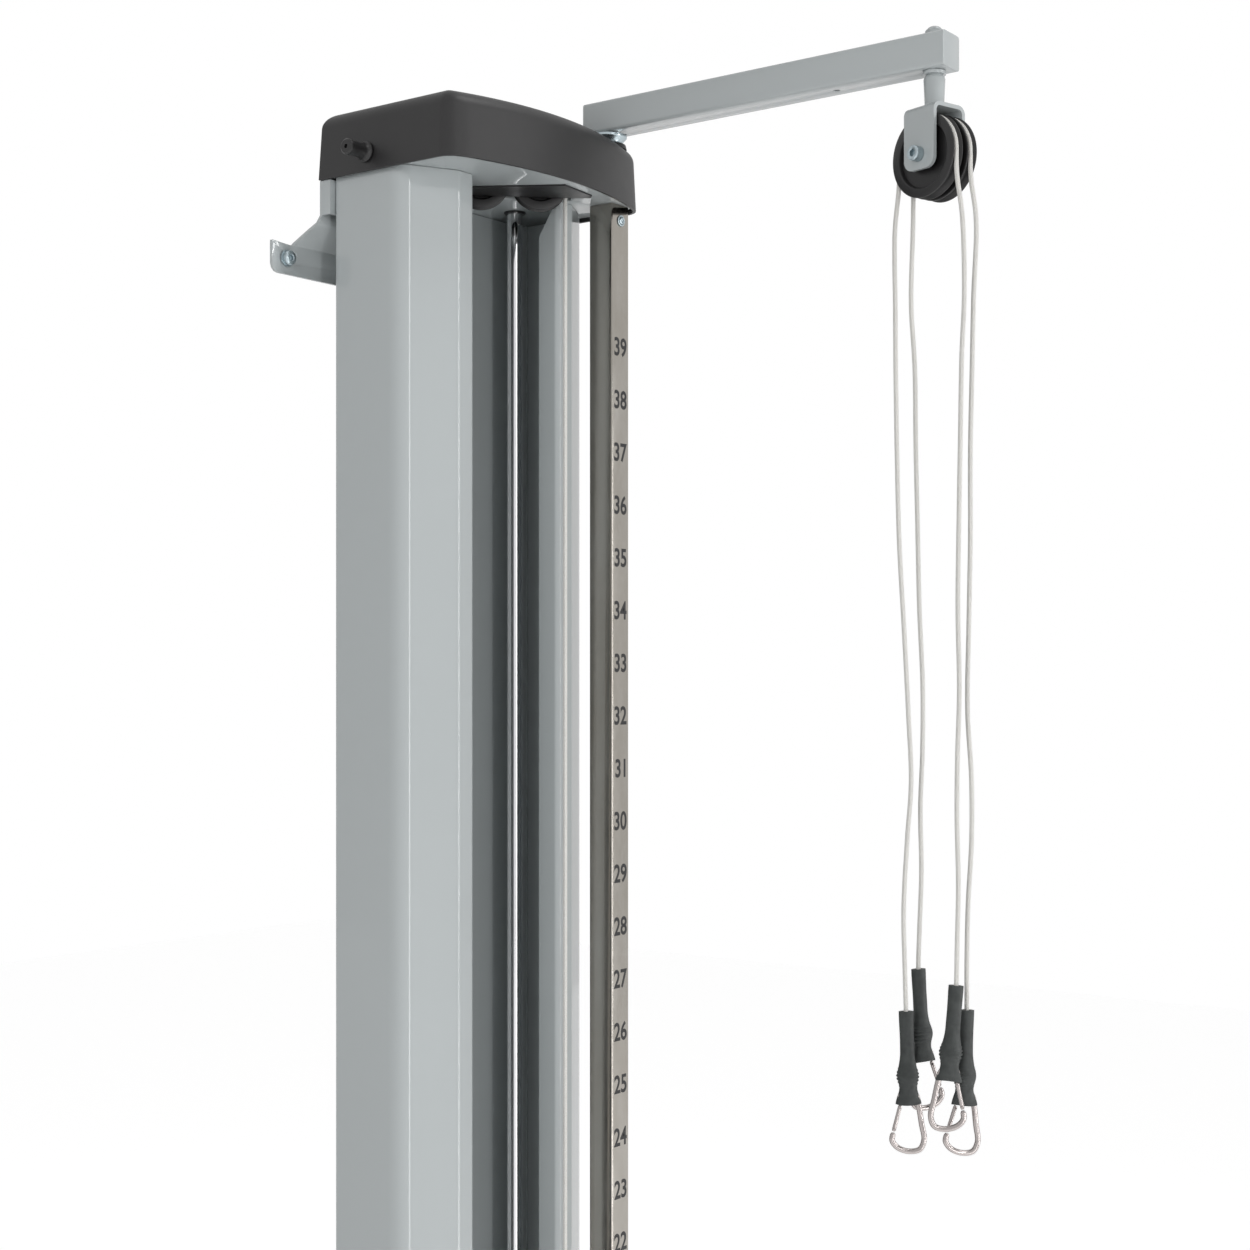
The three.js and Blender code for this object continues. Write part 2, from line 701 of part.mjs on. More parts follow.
// Selector stem: a collar on the top weight, the rope's socket above and a drilled rod below
function selectorStem() {
  const collar = liftPlateTop + seatGap;
  const foot = stackBottom + platePitch / 2;
  const head = collar + stemHeadHeight;
  const collarRadius = stemRadius + stemCollarWidth;
  const neck = stemRadius - stemChamfer;
  const socket = ropeRadius + ropeSocketGap;
  const stem = turned([
    [0, foot], [neck, foot], [stemRadius, foot + stemChamfer], [stemRadius, collar], [collarRadius, collar],
    [collarRadius, collar + stemCollarHeight], [neck, collar + stemNeckHeight], [neck, head], [socket, head],
    [socket, head - ropeSocketDepth], [0, head - ropeSocketDepth],
  ], 12).translate(stackCentre.x, stackCentre.y, 0);
  const holes = [];
  for (let level = 1; level < plateCount; level += 1) {
    const height = stackBottom + (plateCount - level) * platePitch + plateThickness / 2;
    const reach = stemRadius + cutOverrun;
    const [near, far] = [stackCentre.y - reach, stackCentre.y + reach];
    holes.push(rodAlongY(pinRadius + runGap, near, far, stackCentre.x, height, 8));
  }
  return cut(stem, ...holes);
}

const pinChamfer = 2;
const pinKnobGap = 2;
const pinKnobRadius = 12;
const pinKnobChamfer = 3;
const pinKnobLength = 17;

// Selector pin with its knob, in the lowest of the lifted weights
function selectorPin() {
  const height = stackBottom + (plateCount - liftedPlateCount) * platePitch + plateThickness / 2;
  const knob = plateDepth / 2 + pinKnobGap;
  const knobEnd = knob + pinKnobLength;
  const profile = [
    [0, -pinReach], [pinRadius - pinChamfer / 2, -pinReach], [pinRadius, pinChamfer - pinReach],
    [pinRadius, knob], [pinKnobRadius - pinKnobChamfer / 2, knob], [pinKnobRadius, knob + pinKnobChamfer],
    [pinKnobRadius, knobEnd - pinKnobChamfer], [pinKnobRadius - pinKnobChamfer, knobEnd], [0, knobEnd],
  ];
  return turned(profile, 12).rotateX(Math.PI / 2).translate(stackCentre.x, stackCentre.y, height);
}

function guideRod(side) {
  const x = stackCentre.x + (side * rodSpacing) / 2;
  return rod(rodRadius, footTop, columnTop, 16).translate(x, stackCentre.y, 0);
}

// Base plate with the two rubber-capped stops that the weights rest on
function basePlate() {
  const plate = raised(headPlan(capWall + seatGap), 0, baseHeight);
  const stop = (sign) => rod(bufferRadius, baseHeight - joinSink, baseHeight + bufferHeight, 12)
    .translate(stackCentre.x + (sign * rodSpacing) / 4, stackCentre.y, 0);
  return joined(plate, stop(-1), stop(1));
}

// Carriage on the pole
const carriageHeight = firstNumberHeight + numberPitch * carriageStepCount;
const carriageOuter = 42;
const carriageHalf = 36;
const carriagePulleyRadius = 22;
const carriagePulleyGroove = 16.4;
const carriagePulleyWidth = 11;
const carriageRopeRadius = carriagePulleyGroove + ropeRadius + ropeGap;
const swivelRadius = 6;
const swivelBore = ropeRadius + ropeSocketGap;
const swivelHousing = 9.5;
const swivelHalf = 12;
const swivelRing = 1;
const carriageCornerRadius = 6;
const neckInset = 2;
const plungerRadius = 3.4;
const plungerHousing = 9;
const plungerTravel = 10;
const plungerTip = 1;
const plungerKnobRadius = 12;
const plungerKnobLength = 22;
const plungerKnobChamfer = 3;

function carriageBody() {
  const outline = roundedRectangle(poleX, poleY, carriageOuter, carriageOuter, carriageCornerRadius);
  const sleeve = raised(outline, -carriageHalf, carriageHalf);
  const housing = rod(swivelHousing, -swivelHalf, swivelHalf, 14).translate(ropeDrop.x, ropeDrop.y, 0);
  const neckBack = ropeDrop.y + swivelHousing - neckInset;
  const neck = box(ropeDrop.x, poleX - poleSize / 2 - neckInset, poleY, neckBack, -swivelHalf, swivelHalf);
  const right = poleX + carriageOuter / 2;
  const boss = rodAlongX(plungerHousing, right - joinSink, right + plungerTravel, poleY, 0, 12);
  const fit = poleSize + 2 * runGap;
  const bore = roundedRectangle(poleX, poleY, fit, fit, poleCornerRadius);
  const poleBore = raised(bore, -carriageHalf - cutOverrun, carriageHalf + cutOverrun);
  const swivelHole = rod(swivelRadius + runGap, -swivelHalf - cutOverrun, swivelHalf + cutOverrun, 12)
    .translate(ropeDrop.x, ropeDrop.y, 0);
  const bossEnd = right + plungerTravel;
  const plungerHole = rodAlongX(plungerRadius + runGap, poleX, bossEnd + cutOverrun, poleY, 0, 12);
  const body = cut(joined(sleeve, housing, neck, boss), poleBore, swivelHole, plungerHole);
  return body.translate(0, 0, carriageHeight);
}

// Spring plunger: its nose sits in one of the pole's lock holes
function lockPlunger() {
  const nose = poleSize / 2 - poleWall - plungerTip;
  const knob = carriageOuter / 2 + plungerTravel + runGap;
  const knobEnd = knob + plungerKnobLength;
  const profile = [
    [0, nose], [plungerRadius - plungerTip, nose], [plungerRadius, nose + plungerTip], [plungerRadius, knob],
    [plungerKnobRadius - plungerKnobChamfer, knob], [plungerKnobRadius, knob + plungerKnobLength / 3],
    [plungerKnobRadius, knobEnd - plungerKnobChamfer], [plungerKnobRadius - plungerKnobChamfer, knobEnd],
    [0, knobEnd],
  ];
  return turned(profile, 12).rotateY(Math.PI / 2).translate(poleX, poleY, carriageHeight);
}

const forkSheet = 2.5;
const forkAxleRadius = 3;
const forkDrop = 34;
const forkBelow = swivelHalf + runGap;
const forkRound = 10;
const forkNotch = 6;
const forkAxleProud = 1.5;
const swivelCollar = 3;
const forkAxleDrop = -forkBelow - forkSheet - carriagePulleyRadius - 2 * swivelRing;

// Swivel fork: a hollow trunnion in the carriage, two cheeks and the pulley's axle
function carriageFork() {
  const half = forkSheet / 2;
  const cheek = carriagePulleyWidth / 2 + runGap + half;
  const roof = -forkBelow - half;
  const path = [[-cheek, roof - forkDrop], [-cheek, roof], [cheek, roof], [cheek, roof - forkDrop]];
  const section = foldedSheet(path, [forkSheet, forkSheet], forkSheet, 3);
  const reach = carriageRopeRadius + forkRound;
  const cheeks = raised(section, -swivelRadius - swivelRing, reach).rotateX(Math.PI / 2);
  const rear = swivelRadius + swivelRing;
  const side = [
    ...arc(-carriageRopeRadius, forkAxleDrop, forkRound, Math.PI, 2 * Math.PI, 6),
    [rear, roof - forkNotch], [rear, roof + cutOverrun], [-reach, roof + cutOverrun],
  ];
  const trim = raised(side, -2 * cheek, 2 * cheek).rotateX(Math.PI / 2).rotateZ(Math.PI / 2);
  const trunnion = rod(swivelRadius, roof, swivelHalf + runGap, 12);
  const collar = rod(swivelRadius + 2 * swivelRing, forkBelow, forkBelow + swivelCollar, 12);
  const bore = rod(swivelBore, roof - cutOverrun, swivelHalf + 2 * cutOverrun, 10);
  const end = cheek + half + forkAxleProud;
  const axle = rodAlongX(forkAxleRadius, -end, end, -carriageRopeRadius, forkAxleDrop, 12);
  const fork = joined(cut(joined(common(cheeks, trim), trunnion, collar), bore), axle);
  return fork.translate(ropeDrop.x, ropeDrop.y, carriageHeight);
}

function carriagePulley() {
  const bore = forkAxleRadius + runGap;
  const wheel = pulley(carriagePulleyRadius, carriagePulleyGroove, carriagePulleyWidth, bore, 14);
  return wheel.rotateY(Math.PI / 2)
    .translate(ropeDrop.x, ropeDrop.y - carriageRopeRadius, carriageHeight + forkAxleDrop);
}

const outletTop = forkBelow + swivelCollar + swivelRing;
const outletReach = 22;

// Rope through the hollow trunnion, round the carriage pulley and out to its stop
function outletRope() {
  const steps = 6;
  const centreY = ropeDrop.y - carriageRopeRadius;
  const centreZ = carriageHeight + forkAxleDrop;
  const points = [new THREE.Vector3(ropeDrop.x, ropeDrop.y, carriageHeight + outletTop)];
  for (let k = 0; k <= steps; k += 1) {
    const angle = (-Math.PI / 2) * (k / steps);
    points.push(new THREE.Vector3(ropeDrop.x, centreY + carriageRopeRadius * Math.cos(angle),
      centreZ + carriageRopeRadius * Math.sin(angle)));
  }
  points.push(new THREE.Vector3(ropeDrop.x, centreY - outletReach, centreZ - carriageRopeRadius));
  return rope(points, ropeRadius);
}

const stopRadius = 13;
const stopSocket = 4;
const eyeRadius = 9;
const eyeWire = 2.5;

// Stop ball that keeps the rope's end at the carriage, with the eye that a handle clips to
function ropeStop() {
  const ball = new THREE.SphereGeometry(stopRadius, 12, 8);
  const bore = ropeRadius + ropeSocketGap;
  const socket = rodAlongY(bore, stopRadius - stopSocket, stopRadius + cutOverrun, 0, 0, 8);
  const eye = new THREE.TorusGeometry(eyeRadius, eyeWire, 6, 12).rotateY(Math.PI / 2);
  eye.translate(0, -stopRadius - eyeRadius + eyeWire / 2, 0);
  const y = ropeDrop.y - carriageRopeRadius - outletReach - seatGap - stopRadius + stopSocket;
  const z = carriageHeight + forkAxleDrop - carriageRopeRadius;
  return joined(cut(ball, socket), eye).translate(ropeDrop.x, y, z);
}

// Arm

const pivotFoot = 4;
const pivotFootTop = 5;
const pivotWasher = 3;
const pivotWasherWidth = 5;
const pivotFlare = 9;
const pivotPin = 6;
const pivotPinReach = 4;

// Post that carries the arm: a foot on the head plate, a neck through the cap and a washer
function armPivot() {
  const foot = headPlateTop + seatGap;
  const top = armBottom - seatGap;
  const washer = pivotRadius + pivotWasherWidth;
  const pinTop = top + armWall + pivotPinReach;
  return turned([
    [0, foot], [pivotFlange, foot], [pivotFlange, foot + pivotFoot], [pivotRadius, foot + pivotFootTop],
    [pivotRadius, top - pivotFlare], [washer, top - pivotWasher], [washer, top], [pivotPin, top],
    [pivotPin, pinTop], [0, pinTop],
  ], 16).translate(poleX, poleY, 0);
}

const armBoreCorner = 1;
const swivelPin = 5;

function armTube() {
  const outline = roundedRectangle(0, 0, armSize, armSize, armCornerRadius);
  const bore = armSize - 2 * armWall;
  const inner = roundedRectangle(0, 0, bore, bore, armBoreCorner, 1);
  const middle = armBottom + armSize / 2;
  const alongArm = (points, from, to) => raised(points, from, to).rotateX(Math.PI / 2)
    .translate(poleX, poleY, middle);
  const outer = alongArm(outline, -armTail, armReach);
  const hollow = alongArm(inner, -armTail - cutOverrun, armReach - armWall);
  const down = (radius, reach, low, high) => rod(radius, low, high, 14).translate(poleX, poleY - reach, 0);
  const below = armBottom - cutOverrun;
  return cut(outer, hollow,
    down(pivotPin + runGap, 0, below, middle),
    down(swivelPin + runGap, armTipReach, below, armTop + cutOverrun),
    down(armHoleRadius, armHoleReach, below, middle));
}

// Yoke frame, turned about the swivel pin: x along the pulleys' axle, y across it
const yokeSheet = 3.5;
const yokeWidth = 35;
const yokeSideGap = 1;
const yokeInside = sheaveOffset + sheaveWidth / 2 + yokeSideGap;
const yokeHeadroom = 3;
const stemLength = 30.9;
const yokeRoof = armBottom - stemLength - yokeSheet;
const sheaveHeight = yokeRoof - yokeHeadroom - sheaveRadius;
const yokeDrop = 13;
const yokeFoot = sheaveHeight - yokeDrop;
const yokeFootRadius = 10;
const yokeBend = 4.5;
const stemOuter = 7.2;
const stemWaist = 6;
const stemWasher = 9.2;
const stemWasherHeight = 3;
const pinProud = 2;
const axleRadius = 4;

function pulleyYoke() {
  const half = yokeSheet / 2;
  const cheek = yokeInside + half;
  const roof = yokeRoof + half;
  const path = [[-cheek, yokeFoot], [-cheek, roof], [cheek, roof], [cheek, yokeFoot]];
  const section = foldedSheet(path, [yokeBend, yokeBend], yokeSheet, 3);
  const wide = yokeWidth / 2;
  const bent = raised(section, -wide, wide).rotateX(Math.PI / 2);
  const low = yokeFoot + yokeFootRadius;
  const face = [
    ...arc(-wide + yokeFootRadius, low, yokeFootRadius, Math.PI, 1.5 * Math.PI, 4),
    ...arc(wide - yokeFootRadius, low, yokeFootRadius, 1.5 * Math.PI, 2 * Math.PI, 4),
    [wide, roof + yokeSheet], [-wide, roof + yokeSheet],
  ];
  const trim = raised(face, -2 * cheek, 2 * cheek).rotateX(Math.PI / 2).rotateZ(Math.PI / 2);
  const washer = armBottom - seatGap;
  const washerFoot = washer - stemWasherHeight;
  const pinTop = armTop + pinProud;
  const stem = turned([
    [0, roof], [stemOuter, roof], [stemOuter, washerFoot - stemWasherHeight],
    [stemWaist, washerFoot - stemWasherHeight / 2], [stemWaist, washerFoot], [stemWasher, washerFoot],
    [stemWasher, washer], [swivelPin, washer], [swivelPin, pinTop], [0, pinTop],
  ], 12);
  const axleHole = rodAlongX(axleRadius + runGap, -2 * cheek, 2 * cheek, 0, sheaveHeight, 14);
  return cut(joined(common(bent, trim), stem), axleHole);
}

const nutFlange = 9.5;
const nutFlangeHeight = 1.5;
const nutRadius = 8;
const nutHeight = 8.2;
const nutDomeShares = [[1, 0.25], [0.92, 0.61], [0.62, 0.9], [0, 1]];

// Domed nut over the swivel pin on top of the arm
function armTipNut() {
  const bottom = armTop + seatGap;
  const bore = swivelPin + runGap / 2;
  const recess = armTop + pinProud + seatGap;
  const dome = nutDomeShares.map(([radius, height]) => [nutRadius * radius, bottom + nutHeight * height]);
  return turned([
    [0, recess], [bore, recess], [bore, bottom], [nutFlange, bottom], [nutFlange, bottom + nutFlangeHeight],
    ...dome,
  ], 12);
}

const axleHeadRadius = 6.5;
const axleHeadLength = 8;
const axleChamfer = 1;
const axleSocketRadius = 3;
const axleSocketDepth = 4;
const axleNutRadius = 7;
const axleNutLength = 6.5;

// Axle bolt with a socket head at one end and a nut at the other
function yokeAxle() {
  const face = yokeInside + yokeSheet + seatGap;
  const head = -face - axleHeadLength;
  const nut = face + axleNutLength;
  return turned([
    [0, head + axleSocketDepth], [axleSocketRadius, head + axleSocketDepth], [axleSocketRadius, head],
    [axleHeadRadius - axleChamfer, head], [axleHeadRadius, head + axleChamfer], [axleHeadRadius, -face],
    [axleRadius, -face], [axleRadius, face], [axleNutRadius, face], [axleNutRadius, nut - axleChamfer],
    [axleNutRadius - axleChamfer, nut], [0, nut],
  ], 12).rotateY(Math.PI / 2).translate(0, 0, sheaveHeight);
}

function sheave(side) {
  const wheel = pulley(sheaveRadius, sheaveGroove, sheaveWidth, axleRadius + runGap, 18);
  return wheel.rotateY(Math.PI / 2).translate(side * sheaveOffset, 0, sheaveHeight);
}

// Hanging ropes: each lies over its sheave and ends in a sleeve and a snap hook at each side.
// Hang is a sleeve's drop below the sheaves and drift how far it hangs in from its sheave's edge.
const hangRadius = sheaveGroove + ropeRadius + ropeGap;
const sleeveLength = 80;
const hookInSleeve = 15;
const hangers = [
  { name: 'near_rear', side: -1, hand: 1, hang: 730.2, drift: 8, turn: 143, lean: 1.6 },
  { name: 'far_rear', side: 1, hand: 1, hang: 695.6, drift: 6, turn: -30, lean: -3 },
  { name: 'near_front', side: -1, hand: -1, hang: 700.9, drift: 0, turn: -39, lean: 4.6 },
  { name: 'far_front', side: 1, hand: -1, hang: 723.6, drift: 4, turn: 147, lean: -1.6 },
];

function hangingRope(side) {
  const [rear, front] = hangers.filter((hanger) => hanger.side === side);
  const x = side * sheaveOffset;
  const fall = (hanger, share) => {
    const sway = hanger.drift * (3 * share ** 2 - 2 * share ** 3);
    const y = hanger.hand * (hangRadius - sway);
    return new THREE.Vector3(x, y, sheaveHeight - (hanger.hang - seatGap) * share);
  };
  const fallShares = [1, 0.85, 0.65, 0.45, 0.25, 0.1, 0.03];
  const points = fallShares.map((share) => fall(rear, share));
  const steps = 12;
  for (let k = 0; k <= steps; k += 1) {
    const angle = (Math.PI * k) / steps;
    const [y, rise] = [hangRadius * Math.cos(angle), hangRadius * Math.sin(angle)];
    points.push(new THREE.Vector3(x, y, sheaveHeight + rise));
  }
  points.push(...[...fallShares].reverse().map((share) => fall(front, share)));
  return rope(points, ropeRadius);
}

// Snap hook in its own x-z plane, hanging down from its top at zero: shares of its wire's height, from the
// gate's hinge over the top, down the spine and round the bottom to the nose
const hookWire = 2.5;
const hookLength = 58;
const hookShares = [
  [0.132, -0.236], [0.121, -0.085], [0, 0], [-0.121, -0.085], [-0.162, -0.274], [-0.2, -0.557],
  [-0.234, -0.821], [-0.16, -0.972], [0.019, -1], [0.198, -0.934], [0.283, -0.821], [0.264, -0.689],
];
const hookPoints = hookShares.map(([x, z]) => {
  const height = hookLength - 2 * hookWire;
  return new THREE.Vector3(x * height, 0, z * height - hookWire);
});
const hookHinge = hookPoints[0];
const hookNose = hookPoints[hookPoints.length - 1];

function snapHook() {
  return rope(hookPoints, hookWire, 2, 6);
}

// Sprung gate bar between the hinge end and the nose of the hook
const gateRadius = 1.8;
const gateHingeGap = 0.8;
const gateNoseGap = 1.2;

function hookGate() {
  const along = hookNose.clone().sub(hookHinge);
  const bar = rod(gateRadius, gateHingeGap, along.length() - gateNoseGap, 8);
  const turn = new THREE.Quaternion().setFromUnitVectors(new THREE.Vector3(0, 0, 1), along.normalize());
  return bar.applyQuaternion(turn).translate(hookHinge.x, hookHinge.y, hookHinge.z);
}

const sleeveRadius = 8.2;
const sleeveShares = [[0.56, 0], [0.61, 0.42], [0.88, 0.55], [0.93, 0.65], [0.68, 0.73], [0.83, 0.83], [1, 1]];

// Shrunk sleeve: a narrow top, the knot's bulge, and a flared foot slotted for the top of its hook
function ropeSleeve() {
  const foot = -sleeveLength;
  const side = sleeveShares.map(([radius, drop]) => [sleeveRadius * radius, foot * drop]);
  const body = turned([[0, 0], ...side, [0, foot]], 10);
  const [wide, deep] = [2 * sleeveRadius, hookWire + runGap];
  const slot = box(-wide, wide, -deep, deep, foot - cutOverrun, foot + hookInSleeve + runGap);
  return cut(body, slot);
}

function addHangers(yoke) {
  add(yoke, 'rope_near', hangingRope(-1), whiteRope);
  add(yoke, 'rope_far', hangingRope(1), whiteRope);
  for (const hanger of hangers) {
    const end = new THREE.Group();
    const [turn, lean] = [hanger.turn, hanger.lean].map(THREE.MathUtils.degToRad);
    end.rotation.set(0, lean, turn, 'ZYX');
    const y = hanger.hand * (hangRadius - hanger.drift);
    end.position.set(hanger.side * sheaveOffset, y, sheaveHeight - hanger.hang);
    yoke.add(end);
    add(end, `sleeve_${hanger.name}`, ropeSleeve(), rubber);
    const hook = new THREE.Group();
    hook.position.z = hookInSleeve - sleeveLength;
    end.add(hook);
    add(hook, `hook_${hanger.name}`, snapHook(), zinc);
    add(hook, `gate_${hanger.name}`, hookGate(), zinc);
  }
}

// Assembly

function addCasing() {
  add(tower, 'left_profile', casingHalf(-1), greyPaint);
  add(tower, 'right_profile', casingHalf(1), greyPaint);
  add(tower, 'back_panel', backPanel(), greyPaint);
  add(tower, 'head_plate', headPlate(), greyPaint);
  add(tower, 'top_cap', topCap(), blackMoulding);
  add(tower, 'accessory_peg', accessoryPeg(), blackPlastic);
  add(tower, 'base_plate', basePlate(), castIron);
  add(tower, 'base_cover', baseCover(), blackMoulding);
  add(tower, 'upper_wall_bracket', wallBracket(upperMountHeight), greyPaint);
  add(tower, 'lower_wall_bracket', wallBracket(lowerMountHeight), greyPaint);
  add(tower, 'wall_bolt_upper_left', wallBolt(-earHoleX, upperMountHeight), zinc);
  add(tower, 'wall_bolt_upper_right', wallBolt(earHoleX, upperMountHeight), zinc);
  add(tower, 'wall_bolt_lower_left', wallBolt(-earHoleX, lowerMountHeight), zinc);
  add(tower, 'wall_bolt_lower_right', wallBolt(earHoleX, lowerMountHeight), zinc);
  add(tower, 'number_pole', numberPole(), stainless);
  add(tower, 'pole_screw', poleScrew(), zinc);
}

function addWeights() {
  add(tower, 'guide_rod_left', guideRod(-1), chrome);
  add(tower, 'guide_rod_right', guideRod(1), chrome);
  add(tower, 'lift_plate', liftPlate(), castIron);
  add(tower, 'selector_stem', selectorStem(), zinc);
  add(tower, 'selector_pin', selectorPin(), blackPlastic);
  for (let level = 1; level <= plateCount; level += 1) {
    add(tower, `weight_plate_${level}`, weightPlate(level), castIron);
  }
}

function addReeving() {
  add(tower, 'pulley_bracket', pulleyBracket(), blackPlastic);
  add(tower, 'head_pulley_front', headPulley(frontPulley), blackPlastic);
  add(tower, 'head_pulley_rear', headPulley(rearPulley), blackPlastic);
  add(tower, 'rope_head', headRope(), whiteRope);
  const strandTop = headPulleyHeight - headRopeTail - seatGap;
  const stackEnd = liftPlateTop + stemHeadHeight - ropeSocketDepth + 2 * seatGap;
  add(tower, 'rope_stack_strand', straightRope(stackCentre.x, stackCentre.y, stackEnd, strandTop), whiteRope);
  const carriageEnd = carriageHeight + outletTop + seatGap;
  add(tower, 'rope_front_strand', straightRope(ropeDrop.x, ropeDrop.y, carriageEnd, strandTop), whiteRope);
}

function addCarriage() {
  add(tower, 'carriage_body', carriageBody(), blackPlastic);
  add(tower, 'lock_plunger', lockPlunger(), blackPlastic);
  add(tower, 'carriage_fork', carriageFork(), zinc);
  add(tower, 'carriage_pulley', carriagePulley(), blackPlastic);
  add(tower, 'rope_outlet', outletRope(), whiteRope);
  add(tower, 'rope_stop', ropeStop(), rubber);
}

function addArm() {
  add(tower, 'arm_pivot', armPivot(), zinc);
  add(tower, 'arm_tube', armTube(), greyPaint);
  const yoke = new THREE.Group();
  yoke.position.set(poleX, poleY - armTipReach, 0);
  yoke.rotation.z = yokeTurn;
  tower.add(yoke);
  add(yoke, 'pulley_yoke', pulleyYoke(), greyPaint);
  add(yoke, 'arm_tip_nut', armTipNut(), zinc);
  add(yoke, 'yoke_axle', yokeAxle(), zinc);
  add(yoke, 'sheave_near', sheave(-1), blackPlastic);
  add(yoke, 'sheave_far', sheave(1), blackPlastic);
  addHangers(yoke);
}

addCasing();
addWeights();
addReeving();
addCarriage();
addArm();

// The origin is the middle of the upper bracket's back face, on the wall
tower.position.z = -upperMountHeight;

const wallPulley = new THREE.Group();
wallPulley.add(tower);

export default wallPulley;
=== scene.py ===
"""Dresses the wall pulley weight stack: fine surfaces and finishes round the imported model."""

import json
import math

import bmesh
import bpy
import numpy as np
from mathutils import Matrix, Vector


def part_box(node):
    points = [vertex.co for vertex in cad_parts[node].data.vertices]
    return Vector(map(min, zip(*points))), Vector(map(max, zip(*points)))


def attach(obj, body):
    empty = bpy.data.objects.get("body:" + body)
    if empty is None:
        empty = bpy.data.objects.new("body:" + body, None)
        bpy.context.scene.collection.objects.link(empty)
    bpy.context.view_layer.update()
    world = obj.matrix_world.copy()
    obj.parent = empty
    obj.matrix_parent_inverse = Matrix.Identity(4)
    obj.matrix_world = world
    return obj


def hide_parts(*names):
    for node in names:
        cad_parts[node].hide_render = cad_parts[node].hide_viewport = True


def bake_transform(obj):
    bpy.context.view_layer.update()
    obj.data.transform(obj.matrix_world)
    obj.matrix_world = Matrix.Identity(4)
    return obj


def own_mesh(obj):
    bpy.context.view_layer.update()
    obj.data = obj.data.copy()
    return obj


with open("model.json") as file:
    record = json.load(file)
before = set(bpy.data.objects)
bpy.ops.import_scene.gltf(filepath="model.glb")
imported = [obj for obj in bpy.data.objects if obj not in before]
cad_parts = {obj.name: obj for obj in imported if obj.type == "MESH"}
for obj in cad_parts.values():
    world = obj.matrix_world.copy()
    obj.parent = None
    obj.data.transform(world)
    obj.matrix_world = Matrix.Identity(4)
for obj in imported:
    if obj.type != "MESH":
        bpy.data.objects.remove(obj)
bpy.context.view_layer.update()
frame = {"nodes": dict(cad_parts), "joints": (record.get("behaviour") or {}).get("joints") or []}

bl_info = {
    "name": "Wall Pulley Weight Stack",
    "version": (1, 0, 0),
    "blender": (4, 5, 0),
    "location": "View3D > Sidebar > Pulley",
    "description": "Builds the dressed wall pulley tower, its arm, ropes and hooks",
    "category": "Add Mesh",
}

MM = 0.001
RIGHT, OUT, UP = np.array([1.0, 0, 0]), np.array([0, -1.0, 0]), np.array([0, 0, 1.0])
TURN = 2 * math.pi
QUARTER = math.pi / 2
SMALL = 1e-9
SEAT_GAP = 0.05 * MM
WASHER_GAP = 0.3 * MM


# Places taken from the frame


def low(node):
    """Lowest corner of a node's box."""
    return np.array(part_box(node)[0])


def high(node):
    """Highest corner of a node's box."""
    return np.array(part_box(node)[1])


def middle(node):
    """Middle of a node's box."""
    return (low(node) + high(node)) / 2


def extent(node):
    """Size of a node's box, in millimetres."""
    return (high(node) - low(node)) / MM


def joint(name):
    """A joint's record by its name."""
    return next(row for row in frame["joints"] if row["name"] == name)


POLE = middle("number_pole")
STACK = middle("rope_stack_strand")
FRONT_PULLEY = np.array(joint("head_pulley_front_spin")["pos_m"])
REAR_PULLEY = np.array(joint("head_pulley_rear_spin")["pos_m"])
REEVE_AXIS = np.array(joint("head_pulley_front_spin")["axis"])
YOKE = np.array(joint("sheave_near_spin")["pos_m"])
ACROSS = np.array(joint("sheave_near_spin")["axis"])
FORK_AXLE = np.array(joint("carriage_pulley_spin")["pos_m"])
YOKE_TURN = math.atan2(ACROSS[1], ACROSS[0])


# Sizes and colours that a user would change


def length(name, default, description):
    """A size in metres."""
    return bpy.props.FloatProperty(
        name=name, description=description, default=default, min=0.0, precision=4, unit="LENGTH",
        subtype="DISTANCE"
    )


def colour(name, default, description):
    """A linear colour."""
    return bpy.props.FloatVectorProperty(
        name=name, description=description, default=default, size=4, min=0.0, max=1.0, subtype="COLOR"
    )


class CasingSizes(bpy.types.PropertyGroup):
    sheet: length("Sheet", 2.5 * MM, "Thickness of the folded casing sheet")
    bend: length("Front bend", 20 * MM, "Radius of the bend between side and front")
    facet_bend: length("Facet bend", 9 * MM, "Radius of the bend at the edge of the front facet")
    lip: length("Lip bend", 4 * MM, "Radius of the rounded front lip")
    facet: length("Facet", 21 * MM, "Width of the flat front facet beside the lip")
    gap: length("Half opening", 60 * MM, "Half the width of the opening between the lips")
    front: length("Front", 136.5 * MM, "Distance of the front facets from the wall")
    lip_depth: length("Lip depth", 23 * MM, "How far the lip returns into the casing")
    lip_drop: length("Lip slant", 31 * MM, "How far the top of a lip slants down to its rear edge")
    rear_flange: length("Rear flange", 22 * MM, "Width of the flange at the back")
    bend_y: length("Bend place", 109 * MM, "Distance of the front bend from the wall")


class HeadSizes(bpy.types.PropertyGroup):
    wall: length("Cap wall", 3 * MM, "Wall of the moulded cap")
    edge: length("Edge radius", 15 * MM, "Radius of the cap's rounded top edge")
    corner: length("Corner radius", 14 * MM, "Radius of the cap's upright corners")
    corner_y: length("Corner place", 175.5 * MM, "Distance of the front corners from the wall")
    draft: length("Draft", 2 * MM, "How far the cap's sides lean in")
    crown: length("Crown", 5 * MM, "Rise of the cap's top in the middle")


